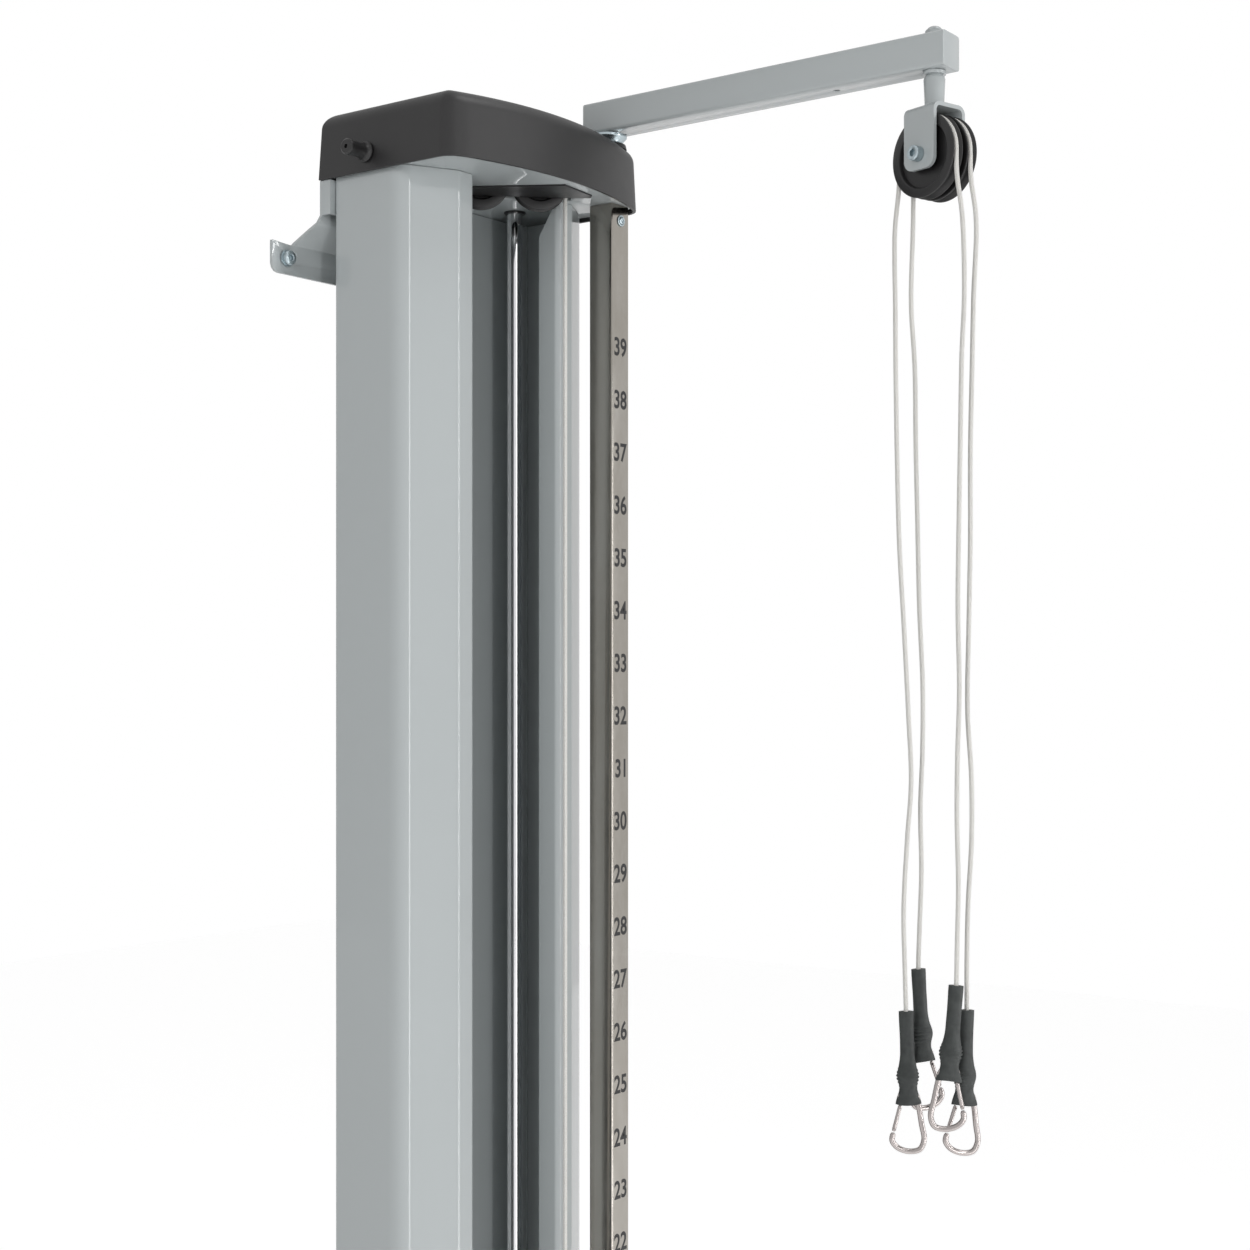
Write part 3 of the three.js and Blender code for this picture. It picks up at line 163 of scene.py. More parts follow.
class RopeSizes(bpy.types.PropertyGroup):
    diameter: length("Rope", 4 * MM, "Diameter of the ropes")
    wrap: length("Wrap radius", 33.3 * MM, "Radius of the rope's line on the arm's pulleys")
    offset: length("Pulley offset", 8.5 * MM, "Half the distance between the two arm pulleys")
    head_wrap: length("Head wrap radius", 24 * MM, "Radius of the rope's line on the head pulleys")
    outlet_wrap: length("Outlet wrap radius", 19 * MM, "Radius of the rope's line on the carriage pulley")
    lay: length("Braid pitch", 7 * MM, "Length of one turn of the braid")


class HookSizes(bpy.types.PropertyGroup):
    wire: length("Wire", 5 * MM, "Diameter of the hook's wire")
    length: length("Hook length", 58 * MM, "Overall length of a snap hook")
    sleeve: length("Sleeve length", 80 * MM, "Length of the shrunk sleeve")
    hidden: length("Hidden length", 15 * MM, "Length of the hook inside its sleeve")
    gate: length("Gate bar", 3.6 * MM, "Diameter of the sprung gate")


class ScaleSizes(bpy.types.PropertyGroup):
    pitch: length("Number pitch", 50 * MM, "Distance from one number to the next")
    first: length("First number", 170 * MM, "Height of number one above the floor")
    height: length("Number height", 17.8 * MM, "Height of the printed digits")
    width: length("Number width", 19.6 * MM, "Width of two printed digits")
    count: bpy.props.IntProperty(name="Count", description="How many numbers the pole has", default=39, min=1)


class FinishColours(bpy.types.PropertyGroup):
    paint: colour("Paint", (0.43, 0.462, 0.468, 1), "Light grey gloss paint")
    moulding: colour("Moulding", (0.015, 0.0145, 0.015, 1), "Charcoal moulded plastic")
    nylon: colour("Nylon", (0.011, 0.0105, 0.011, 1), "Black nylon")
    stainless: colour("Stainless", (0.41, 0.39, 0.36, 1), "Bright stainless steel")
    chrome: colour("Chrome", (0.78, 0.78, 0.79, 1), "Polished chrome")
    zinc: colour("Zinc", (0.44, 0.51, 0.54, 1), "Bluish bright zinc")
    steel: colour("Hook steel", (0.42, 0.385, 0.375, 1), "Polished hook steel")
    iron: colour("Iron", (0.03, 0.031, 0.033, 1), "Black enamelled iron")
    rubber: colour("Rubber", (0.030, 0.034, 0.033, 1), "Shrunk rubber sleeve")
    rope: colour("Rope", (0.90, 0.89, 0.86, 1), "White braided rope")
    ink: colour("Ink", (0.006, 0.006, 0.007, 1), "Black scale numbers")


class StudioSizes(bpy.types.PropertyGroup):
    lens: bpy.props.FloatProperty(
        name="Lens", description="Focal length on a 36 mm sensor", default=57.9, min=1.0
    )
    shift: bpy.props.FloatProperty(name="Shift", description="Upward shift of the level camera", default=0.04)
    eye: bpy.props.FloatVectorProperty(
        name="Eye", description="Place of the camera", default=(-1.429, -1.307, -0.3715), subtype="XYZ",
        unit="LENGTH"
    )
    heading: bpy.props.FloatProperty(
        name="Heading", description="Turn of the level camera from the front", default=math.radians(-53.74),
        subtype="ANGLE"
    )


GROUPS = {
    "pulley_casing": CasingSizes,
    "pulley_head": HeadSizes,
    "pulley_rope": RopeSizes,
    "pulley_hook": HookSizes,
    "pulley_scale": ScaleSizes,
    "pulley_finish": FinishColours,
    "pulley_studio": StudioSizes,
}


# Meshes from grids of points


def grid_faces(rows, columns, closed_rows, closed_columns):
    """Quads between neighbouring points of a grid, row by row."""
    r = np.arange(rows if closed_rows else rows - 1)
    c = np.arange(columns if closed_columns else columns - 1)
    r, c = np.meshgrid(r, c, indexing="ij")
    down, across = (r + 1) % rows, (c + 1) % columns
    quads = np.stack([r * columns + c, r * columns + across, down * columns + across, down * columns + c], -1)
    return quads.reshape(-1, 4)


def edited(mesh, change):
    """Changes a mesh by a function of its bmesh."""
    work = bmesh.new()
    work.from_mesh(mesh)
    change(work)
    work.to_mesh(mesh)
    work.free()


def merge(work):
    """Merges equal points."""
    bmesh.ops.remove_doubles(work, verts=work.verts, dist=2e-6)


def turn_outwards(work):
    """Turns the faces outwards."""
    bmesh.ops.recalc_face_normals(work, faces=work.faces)


def piece(name, grids, body, finish, bevel=0.0, smooth=True, node=None):
    """One mesh object from grids of points.

    grids holds (points, closed_rows, closed_columns, caps). points has the shape rows, columns, 3, in metres
    in the object's frame. caps closes the first and last rows with flat faces. Equal points are merged, loose
    bits of zero size are dissolved and the faces are turned outwards.
    """
    mesh = bpy.data.meshes.new(name)
    points, faces = [], []
    start = 0
    for grid, closed_rows, closed_columns, caps in grids:
        rows, columns = grid.shape[:2]
        points.append(grid.reshape(-1, 3))
        faces += (grid_faces(rows, columns, closed_rows, closed_columns) + start).tolist()
        if caps:
            faces.append(list(range(start, start + columns))[::-1])
            faces.append(list(range(start + (rows - 1) * columns, start + rows * columns)))
        start += rows * columns
    mesh.from_pydata(np.concatenate(points).tolist(), [], faces)

    def clean(work):
        merge(work)
        bmesh.ops.dissolve_degenerate(work, dist=1e-7, edges=work.edges)
        turn_outwards(work)

    edited(mesh, clean)
    mesh.validate()
    return settle(name, mesh, body, finish, bevel, smooth, node)


def settle(name, mesh, body, finish, bevel=0.0, smooth=True, node=None):
    """Makes a mesh an object with its finish.

    It rides on its body and stands for its node, where it has them. bevel rounds the sharp edges by that many
    millimetres.
    """
    thing = bpy.data.objects.new(name, mesh)
    bpy.context.scene.collection.objects.link(thing)
    coat(mesh, finish, smooth)
    if bevel > 0:
        edge = thing.modifiers.new("Edges", "BEVEL")
        edge.width = bevel * MM
        edge.segments = 2
        edge.limit_method = "ANGLE"
        edge.angle_limit = math.radians(32)
        edge.harden_normals = True
    elif smooth:
        mesh.set_sharp_from_angle(angle=math.radians(35))
    if body:
        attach(thing, body)
    if node:
        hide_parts(node)
    return thing


def coat(mesh, finish, smooth):
    """Gives a mesh its finish."""
    mesh.polygons.foreach_set("use_smooth", [smooth] * len(mesh.polygons))
    mesh.materials.clear()
    mesh.materials.append(made_finishes[finish])


def refined(name, node, body, finish, bevel=0.4, reshape=None):
    """A copy of a node's own form with merged faces, soft edges and smooth rounds; it stands for the node.

    reshape, where given, moves the copy's points.
    """
    mesh = frame["nodes"][node].data.copy()
    mesh.name = name

    def refine(work):
        merge(work)
        bmesh.ops.dissolve_limit(
            work, angle_limit=math.radians(0.6), use_dissolve_boundaries=False, verts=work.verts,
            edges=work.edges
        )
        if reshape:
            for vert in work.verts:
                vert.co = reshape(np.array(vert.co))

    edited(mesh, refine)
    settle(name, mesh, body, finish, bevel, node=node)


def turned(profile, centre, axis, sides=64, ripple=None):
    """Grid of a profile of (radius, height), in millimetres, turned round an axis.

    A point is centre + radius (cos a e1 + sin a e2) + height axis. ripple(angle, radius, height), where
    given, is added to the radius.
    """
    along = np.asarray(axis, float) / np.linalg.norm(axis)
    first = np.cross(UP if abs(along[2]) < 0.9 else RIGHT, along)
    first /= np.linalg.norm(first)
    second = np.cross(along, first)
    angle = np.arange(sides) * TURN / sides
    radius, height = (np.repeat(np.asarray(profile, float)[:, [column]], sides, 1) for column in (0, 1))
    if ripple:
        radius = radius + ripple(angle[None, :], radius, height)
    ring = np.cos(angle)[:, None] * first + np.sin(angle)[:, None] * second
    return np.asarray(centre) + (radius[..., None] * ring[None] + height[..., None] * along) * MM


def spun(name, profile, centre, axis, sides, body, finish, bevel=0.0, node=None, ripple=None, ring=False):
    """A piece turned round an axis. The profile of a ring closes on itself."""
    grid = turned(profile, centre, axis, sides, ripple)
    return piece(name, [(grid, ring, True, False)], body, finish, bevel, node=node)


def flats(where):
    """Ripple that draws a round in to a hexagon where a function of radius and height says so."""
    sixth = math.pi / 3

    def hexagon(angle, radius, height):
        facet = np.cos(sixth / 2) / np.cos((angle + sixth / 2) % sixth - sixth / 2)
        return np.where(where(radius, height), radius * (facet - 1), 0)

    return hexagon


def flutes(count, depth, beyond):
    """Ripple that swells and falls round a grip, beyond a radius."""
    return lambda angle, radius, height: np.where(radius > beyond, depth * (np.cos(count * angle) - 1) / 2, 0)


def tube(path, radius, normal, sides=16):
    """Grid of a round section carried along a path that lies, or nearly lies, in a plane with that normal.

    A point is path + radius (cos a n + sin a b). n is the plane's normal, and b is square to it and the path.
    """
    path = np.asarray(path, float)
    side = np.cross(np.gradient(path, axis=0), normal)
    side /= np.linalg.norm(side, axis=1)[:, None]
    angle = np.arange(sides) * TURN / sides
    radius = np.broadcast_to(radius, len(path))
    ring = np.cos(angle)[None, :, None] * np.asarray(normal) + np.sin(angle)[None, :, None] * side[:, None]
    return path[:, None] + radius[:, None, None] * ring


def travelled(line):
    """Distance along a line up to each of its points."""
    return np.concatenate([[0], np.cumsum(np.linalg.norm(np.diff(line, axis=0), axis=1))])


def smooth_line(points, count):
    """Catmull-Rom curve through given points, at evenly spaced places along its length."""
    ends = np.vstack([2 * points[0] - points[1], points, 2 * points[-1] - points[-2]])
    knots = np.concatenate([[0], np.cumsum(np.sqrt(np.linalg.norm(np.diff(ends, axis=0), axis=1)))])
    t = np.linspace(knots[1], knots[-2], count * 8)
    k = np.clip(np.searchsorted(knots, t, side="right") - 1, 1, len(points) - 1)
    near = [knots[k + step][:, None] for step in (-1, 0, 1, 2)]
    t = t[:, None]

    def blended(start, end, first, second):
        span = near[end] - near[start]
        return (near[end] - t) / span * first + (t - near[start]) / span * second

    pairs = [blended(step, step + 1, ends[k + step - 1], ends[k + step]) for step in range(3)]
    line = blended(1, 2, blended(0, 2, pairs[0], pairs[1]), blended(1, 3, pairs[1], pairs[2]))
    passed = travelled(line)
    even = np.linspace(0, passed[-1], count)
    return np.stack([np.interp(even, passed, line[:, axis]) for axis in range(3)], -1)


def bent_line(corners, radii, steps):
    """Points and directions of a flat line whose inner corners are rounded by their radii."""
    corners = np.asarray(corners, float)
    ways = np.diff(corners, axis=0)
    ways /= np.linalg.norm(ways, axis=1)[:, None]
    points, heads = [corners[:1]], [ways[:1]]
    for here, into, out, radius in zip(corners[1:-1], ways[:-1], ways[1:], radii):
        turn = math.atan2(into[0] * out[1] - into[1] * out[0], into @ out)
        angle = np.linspace(0, turn, steps)
        heading = math.atan2(into[1], into[0]) + angle
        start = here - into * radius * math.tan(abs(turn) / 2)
        centre = start + radius * math.copysign(1, turn) * np.array([-into[1], into[0]])
        away = math.atan2(*(start - centre)[::-1]) + angle
        points.append(centre + radius * np.stack([np.cos(away), np.sin(away)], -1))
        heads.append(np.stack([np.cos(heading), np.sin(heading)], -1))
    return np.concatenate([*points, corners[-1:]]), np.concatenate([*heads, ways[-1:]])


def both_faces(line, heads, sheet):
    """The two faces of a sheet that stands on a flat line."""
    side = np.stack([-heads[:, 1], heads[:, 0]], -1) * sheet / 2
    return line + side, line - side


# Shader groups that several finishes share


def fill(tree, node, given):
    """Sets the inputs of a node, or links them where a socket is given."""
    for label, value in given.items():
        if isinstance(value, bpy.types.NodeSocket):
            tree.links.new(value, node.inputs[label])
        else:
            node.inputs[label].default_value = value
    return node


def add_node(tree, kind, given, **settings):
    """A shader node with its settings and its inputs."""
    node = tree.nodes.new(f"ShaderNode{kind}")
    for label, value in settings.items():
        setattr(node, label, value)
    return fill(tree, node, given)


def worked(tree, operation, *values):
    """A number worked out from others."""
    return add_node(tree, "Math", dict(enumerate(values)), operation=operation).outputs[0]


def new_group(name, inputs, outputs):
    """An empty node group.

    An input is a place, a colour or a number, as its default is None, a tuple or a number.
    """
    group = bpy.data.node_groups.new(name, "ShaderNodeTree")
    for label, default in inputs.items():
        kind = "Vector" if default is None else "Color" if isinstance(default, tuple) else "Float"
        made = group.interface.new_socket(name=label, in_out="INPUT", socket_type=f"NodeSocket{kind}")
        if default is not None:
            made.default_value = default
    for label, kind in outputs.items():
        group.interface.new_socket(name=label, in_out="OUTPUT", socket_type=f"NodeSocket{kind}")
    return group, group.nodes.new("NodeGroupInput").outputs, group.nodes.new("NodeGroupOutput")


def noise(tree, place, scale, detail=3.0, roughness=0.55):
    """A noise texture on the given place."""
    given = {"Vector": place, "Scale": scale, "Detail": detail, "Roughness": roughness}
    return add_node(tree, "TexNoise", given).outputs["Fac"]


def spread(tree, value, low_in, high_in, low_out, high_out):
    """A value carried from one range to another and held inside it."""
    given = {"Value": value, "From Min": low_in, "From Max": high_in, "To Min": low_out, "To Max": high_out}
    return add_node(tree, "MapRange", given).outputs["Result"]


def bumped(tree, height, strength, distance):
    """A normal from a height."""
    given = {"Height": height, "Strength": strength, "Distance": distance}
    return add_node(tree, "Bump", given).outputs["Normal"]


def mottle_group():
    """Clouded tone and handling marks: a colour drifts between two levels, and roughness drifts with it."""
    group, given, out = new_group(
        "Mottle",
        {"Place": None, "Colour": (0.5, 0.5, 0.5, 1), "Scale": 6.0, "Dark": 0.9, "Light": 1.1,
         "Rough low": 0.3, "Rough high": 0.45},
        {"Colour": "Color", "Roughness": "Float"},
    )
    cloud = noise(group, given["Place"], given["Scale"], 5.0, 0.6)
    tone = spread(group, cloud, 0.3, 0.7, given["Dark"], given["Light"])
    shade = add_node(group, "VectorMath", {0: given["Colour"], "Scale": tone}, operation="SCALE")
    rough = spread(group, cloud, 0.3, 0.7, given["Rough high"], given["Rough low"])
    fill(group, out, {"Colour": shade.outputs[0], "Roughness": rough})
    return group


def skin_group():
    """Fine skin of a coat or a moulding: small noise as a height, at a real scale."""
    inputs = {"Place": None, "Scale": 900.0, "Strength": 0.1}
    group, given, out = new_group("Skin", inputs, {"Normal": "Vector"})
    fine = noise(group, given["Place"], given["Scale"], 2.0, 0.5)
    fill(group, out, {"Normal": bumped(group, fine, given["Strength"], 0.4 * MM)})
    return group


def streak_group():
    """Brushed or drawn metal: noise drawn out along one axis lifts and dulls fine lines."""
    inputs = {"Place": None, "Along": 3.0, "Strength": 0.1}
    group, given, out = new_group("Streaks", inputs, {"Normal": "Vector"})
    fineness = 700.0
    scale = add_node(group, "CombineXYZ", {"X": fineness, "Y": fineness, "Z": given["Along"]}).outputs[0]
    drawn = add_node(group, "VectorMath", {0: given["Place"], 1: scale}, operation="MULTIPLY").outputs[0]
    lines = noise(group, drawn, 1.0, 3.0, 0.6)
    fill(group, out, {"Normal": bumped(group, lines, given["Strength"], 0.2 * MM)})
    return group


def braid_group():
    """Braided rope on its own UV map: two sets of slanting strands cross and bulge over each other."""
    group, given, out = new_group(
        "Braid", {"Place": None, "Strands": 4.0, "Turns": 140.0, "Strength": 0.6},
        {"Mask": "Float", "Normal": "Vector"},
    )
    place = add_node(group, "SeparateXYZ", {0: given["Place"]}).outputs
    around = worked(group, "MULTIPLY", place["X"], given["Strands"])
    along = worked(group, "MULTIPLY", place["Y"], given["Turns"])
    slants = (worked(group, way, around, along) for way in ("ADD", "SUBTRACT"))
    waves = [worked(group, "SINE", worked(group, "MULTIPLY", slant, TURN)) for slant in slants]
    height = spread(group, worked(group, "MAXIMUM", *waves), -1.0, 1.0, 0.0, 1.0)
    fill(group, out, {"Mask": height, "Normal": bumped(group, height, given["Strength"], 0.3 * MM)})
    return group


# Finishes

MAKERS = {"Mottle": mottle_group, "Skin": skin_group, "Streaks": streak_group, "Braid": braid_group}
made_groups = {}
made_finishes = {}


def add_group(tree, name, **given):
    """Outputs of a shared group, built once and placed in a material with its own values."""
    if name not in made_groups:
        made_groups[name] = MAKERS[name]()
    given = {label.replace("_", " "): value for label, value in given.items()}
    return add_node(tree, "Group", given, node_tree=made_groups[name]).outputs


def start_finish(name):
    """An empty material, its nodes and the places that its patterns use."""
    material = bpy.data.materials.new(name)
    material.use_nodes = True
    return material, material.node_tree, add_node(material.node_tree, "TexCoord", {}).outputs


def finish(
    name, tint, metallic, rough, mottle, skin=None, streaks=None, coat=0.0, coat_rough=0.1, uneven=0.06
):
    """A finish on Object coordinates: clouded tone and gloss, with a fine skin or drawn lines.

    mottle is the size of the clouds in turns per metre. skin and streaks are (scale, strength).
    """
    material, tree, places = start_finish(name)
    place = places["Object"]
    cloud = add_group(
        tree, "Mottle", Place=place, Colour=tuple(tint), Scale=mottle, Dark=1 - uneven, Light=1 + uneven,
        Rough_low=rough[0], Rough_high=rough[1]
    )
    given = {"Base Color": cloud["Colour"], "Roughness": cloud["Roughness"], "Metallic": metallic,
             "Coat Weight": coat, "Coat Roughness": coat_rough}
    if skin:
        given["Normal"] = add_group(tree, "Skin", Place=place, Scale=skin[0], Strength=skin[1])["Normal"]
    if streaks:
        lines = add_group(tree, "Streaks", Place=place, Along=streaks[0], Strength=streaks[1])
        given["Normal"] = lines["Normal"]
    fill(tree, tree.nodes["Principled BSDF"], given)
    return material


def tinted(tree, tint, dark, light, share):
    """A colour between a darker and a lighter tone of a tint."""
    given = {"A": tuple(np.array(tint) * dark), "B": tuple(np.array(tint) * light), "Factor": share}
    return add_node(tree, "Mix", given, data_type="RGBA").outputs["Result"]


def rope_finish(colours):
    """White braided polyester on the rope's own UV map, with painted shade between its strands."""
    material, tree, places = start_finish("White rope")
    braid = add_group(tree, "Braid", Place=places["UV"])
    # The braid's height darkens the colour in the grooves between the strands: painted shade.
    share = spread(tree, braid["Mask"], 0.25, 0.8, 0.0, 1.0)
    fill(tree, tree.nodes["Principled BSDF"], {
        "Base Color": tinted(tree, colours.rope, [0.72, 0.70, 0.66, 1], 1, share), "Normal": braid["Normal"],
        "Roughness": 0.72, "Sheen Weight": 0.25,
    })
    return material


def stainless_finish(colours):
    """Bright stainless: drawn lines along the tube, with wiped smudges that dull it in patches."""
    material, tree, places = start_finish("Stainless pole")
    place = places["Object"]
    lines = add_group(tree, "Streaks", Place=place, Along=2.0, Strength=0.12)

    def patches(scale, detail, roughness):
        drawn = add_node(tree, "Mapping", {"Vector": place, "Scale": scale}).outputs["Vector"]
        return noise(tree, drawn, 1.0, detail, roughness)

    smudge, fleck = patches((26, 26, 9), 6.0, 0.62), patches((150, 150, 90), 4.0, 0.7)
    both = worked(tree, "MULTIPLY_ADD", fleck, 0.35, smudge)
    share = spread(tree, both, 0.45, 0.9, 0.0, 1.0)
    fill(tree, tree.nodes["Principled BSDF"], {
        "Base Color": tinted(tree, colours.stainless, [0.9, 0.88, 0.85, 1], [1.08, 1.08, 1.08, 1], share),
        "Roughness": spread(tree, both, 0.5, 0.85, 0.11, 0.22), "Normal": lines["Normal"], "Metallic": 1.0,
    })
    return material


def make_finishes(colours):
    """Every finish of the object, by name."""
    for key, name, metallic, rough, mottle, more in (
        ("paint", "Grey paint", 0.0, (0.55, 0.6), 2.5,
         {"skin": (420.0, 0.02), "coat": 1.0, "coat_rough": 0.06, "uneven": 0.012}),
        ("moulding", "Charcoal moulding", 0.0, (0.42, 0.52), 9.0, {"skin": (1500.0, 0.28), "uneven": 0.07}),
        ("nylon", "Black nylon", 0.0, (0.33, 0.45), 30.0, {"skin": (1100.0, 0.12), "uneven": 0.12}),
        ("chrome", "Chrome rod", 1.0, (0.05, 0.1), 12.0, {"streaks": (1.0, 0.03), "uneven": 0.03}),
        ("zinc", "Bright zinc", 1.0, (0.24, 0.38), 90.0, {"skin": (1400.0, 0.1), "uneven": 0.09}),
        ("steel", "Hook steel", 1.0, (0.14, 0.2), 60.0, {"skin": (1600.0, 0.004), "uneven": 0.04}),
        ("iron", "Enamelled iron", 0.0, (0.38, 0.55), 25.0,
         {"skin": (600.0, 0.3), "coat": 0.2, "uneven": 0.15}),
        ("rubber", "Shrunk rubber", 0.0, (0.5, 0.68), 140.0, {"skin": (1300.0, 0.35), "uneven": 0.18}),
        ("ink", "Scale ink", 0.0, (0.4, 0.6), 200.0, {"skin": (2500.0, 0.1), "uneven": 0.25}),
    ):
        made_finishes[key] = finish(name, getattr(colours, key), metallic, rough, mottle, **more)
    made_finishes["stainless"] = stainless_finish(colours)
    made_finishes["rope"] = rope_finish(colours)


# Forms of the pieces


def head_plan(head, inset, count=160):
    """Plan of the head: a closed line with straight sides and back and a bowed front between round corners.

    The front is an arc through both corners and the foremost point. The corners are quadratic curves.
    """
    half, back = high("top_cap")[:2] - inset
    corner = -head.corner_y + inset
    front = low("top_cap")[1] + inset
    bow = corner - front
    radius = (half**2 + bow**2) / (2 * bow)
    rounding = max(head.corner - inset, 2.5 * MM)
    sweep = math.asin(half / radius) - 1.5 * rounding / radius
    angle = np.linspace(-QUARTER - sweep, -QUARTER + sweep, count // 2)
    bowed = np.stack([radius * np.cos(angle), front + radius + radius * np.sin(angle)], -1)
    t = np.linspace(0, 1, count // 10)[:, None]

    def corner_curve(start, towards, end):
        return (1 - t) ** 2 * start + 2 * t * (1 - t) * np.array(towards) + t**2 * end

    right = corner_curve(bowed[-1], (half, corner), np.array([half, corner + rounding]))
    left = corner_curve(np.array([-half, corner + rounding]), (-half, corner), bowed[0])
    right_back, left_back = np.array([half, back]), np.array([-half, back])
    right_side = right[-1] + t[1:] * (right_back - right[-1])
    back_side = right_back + t[1:] * (left_back - right_back)
    left_side = left_back + t[1:-1] * (left[0] - left_back)
    return np.concatenate([bowed, right[1:], right_side, back_side, left_side, left[:-1]])


def cap_shell(head, offset, bottom, top):
    """Grid of one skin of the cap: leaning sides, a quarter round edge and shrunk rings that form a dome."""
    radius = head.edge - offset
    angle = np.linspace(0, QUARTER, 14)
    insets = np.concatenate([[0.0], head.draft + radius * (1 - np.cos(angle))]) + offset
    heights = np.concatenate([[bottom], top - head.edge - head.crown + radius * np.sin(angle)])
    rings = np.stack([head_plan(head, inset) for inset in insets])
    centre = middle("top_cap")[:2] * [0, 1]
    shares = np.linspace(1, 0, 16)[1:, None, None]
    flat = np.concatenate([rings, centre + shares * (rings[-1] - centre)])
    rise = np.concatenate([heights[:, None, None], heights[-1] + head.crown * (1 - shares**2)])
    return np.concatenate([flat, np.broadcast_to(rise, flat.shape[:2] + (1,))], -1)


def make_casing(sizes):
    """Folded casing halves: side, slanted face, front facet and a lip whose top slants down to the rear."""
    bottom, top = low("left_profile")[2], high("left_profile")[2]
    half, back = high("right_profile")[:2]
    gap, front, rim = sizes.gap, -sizes.front, sizes.sheet / 2
    corners = np.array([
        (half - sizes.rear_flange, back - rim), (half - rim, back - rim), (half - rim, -sizes.bend_y),
        (gap + sizes.facet, front + rim), (gap + rim, front + rim), (gap + rim, front + sizes.lip_depth),
    ])
    radii = (sizes.sheet, sizes.bend, sizes.facet_bend, sizes.lip)

    def crown(flat):
        behind = np.clip((flat[:, 1] - front - sizes.sheet) / (sizes.lip_depth - sizes.sheet), 0, 1)
        on_lip = np.abs(flat[:, 0]) < gap + sizes.sheet + sizes.lip
        return top - sizes.lip_drop * behind * on_lip

    for side, node in ((-1, "left_profile"), (1, "right_profile")):
        outer, inner = both_faces(*bent_line(corners * [side, 1], radii, 14), sizes.sheet)
        foot = np.full(len(outer), bottom)
        section = ((outer, foot), (outer, crown(outer)), (inner, crown(inner)), (inner, foot))
        grid = np.stack([np.column_stack(row) for row in section], 1)
        piece(f"{node}_sheet", [(grid, False, True, True)], "tower", "paint", 0.4, node=node)
    coat(frame["nodes"]["back_panel"].data, "paint", False)


def make_head(head):
    """Moulded cap, the painted plate under it, the side peg and the base."""
    bottom, top = low("top_cap")[2], high("top_cap")[2]
    outer = cap_shell(head, 0.0, bottom, top)
    inner = cap_shell(head, head.wall, bottom, top - head.wall)
    rim = np.stack([outer[0], inner[0]])
    grids = [(grid, False, True, False) for grid in (outer, inner, rim)]
    piece("moulded_cap", grids, "tower", "moulding", 0.6, node="top_cap")
    refined("head_plate_sheet", "head_plate", "tower", "paint")
    make_peg()
    refined("base_ring", "base_cover", "tower", "moulding", 0.8)
    refined("base_casting", "base_plate", "tower", "iron", 0.6)


def make_peg():
    """Side peg: a flange, a shank with a shallow waist and a blind hole in its rounded end."""
    reach, _, across = extent("accessory_peg")
    radius = across / 2
    shank = radius - 2
    waist = shank - 0.5
    profile = [
        (0, 0), (radius, 0), (radius, 1.6), (shank + 0.6, 3), (waist, 6), (waist, reach - 8),
        (shank, reach - 5), (shank, reach - 1.2), (shank - 1.2, reach), (1.8, reach), (1.6, reach - 3),
        (0, reach - 3.4),
    ]
    centre = middle("accessory_peg") * [0, 1, 1] + high("accessory_peg") * RIGHT
    spun("side_peg", profile, centre, -RIGHT, 48, "tower", "nylon", 0.3, "accessory_peg")


def make_wall_fixings():
    """Wall brackets and their washers and bolts with hexagon sockets."""
    for place in ("upper", "lower"):
        refined(f"{place}_bracket_sheet", f"{place}_wall_bracket", "tower", "paint", 0.5)
    for place in ("upper_left", "upper_right", "lower_left", "lower_right"):
        node = f"wall_bolt_{place}"
        centre = middle(node) * [1, 0, 1]
        depth = -low(node)[1] / MM
        face = 3.3
        seat = face + 2
        washer = [(4, face), (7.5, face), (7.5, seat), (4, seat)]
        seat += 0.02
        bolt = [
            (0, 0), (4, 0), (4, seat), (6.5, seat), (6.5, depth - 1.6), (6.1, depth - 0.5), (5.2, depth),
            (3.1, depth), (2.9, depth - 0.4), (2.9, depth - 3), (0, depth - 3.4),
        ]
        socket = flats(lambda radius, height: (height > depth - 3.1) & (radius < 3) & (radius > 1))
        grids = [
            (turned(washer, centre, OUT, 48), True, True, False),
            (turned(bolt, centre, OUT, 48, socket), False, True, False),
        ]
        piece(f"{place}_bolt", grids, "tower", "zinc", 0.15, node=node)


def crisp_corner(point):
    """Draws a point on one of the pole's round outer corners out to a tighter round."""
    half = extent("number_pole")[0] * MM / 2
    packed, tight = 3 * MM, 1.6 * MM
    flat = point[:2] - POLE[:2]
    side = np.sign(flat)
    away = flat - side * (half - packed)
    if (np.abs(flat) > half - packed - SMALL).all() and np.hypot(*away) > 0.7 * packed:
        point[:2] = POLE[:2] + side * (half - tight) + away * tight / packed
    return point


def make_pole(scale):
    """Numbered pole, its front screw and its printed numbers."""
    refined("pole_tube", "number_pole", "tower", "stainless", 0.15, crisp_corner)
    centre = middle("pole_screw") * [1, 0, 1] - high("pole_screw") * OUT
    head = [
        (0, 0), (5.3, 0), (5.3, 0.9), (5, 1.2), (4, 1.2), (3.9, 0.6), (3.6, 0.6), (3.4, 1.5), (2.7, 2.2),
        (1.9, 2.3), (1.6, 1.4), (0, 0.9),
    ]

    def cross(angle, radius, height):
        return np.where((radius < 2) & (radius > 0), 0.5 * np.cos(4 * angle), 0)

    spun("pole_front_screw", head, centre, OUT, 48, "tower", "zinc", 0.1, "pole_screw", cross)
    make_numbers(scale)


# How far the digits' strokes are thickened, where a digit's height is about one
THICKENING = 0.022


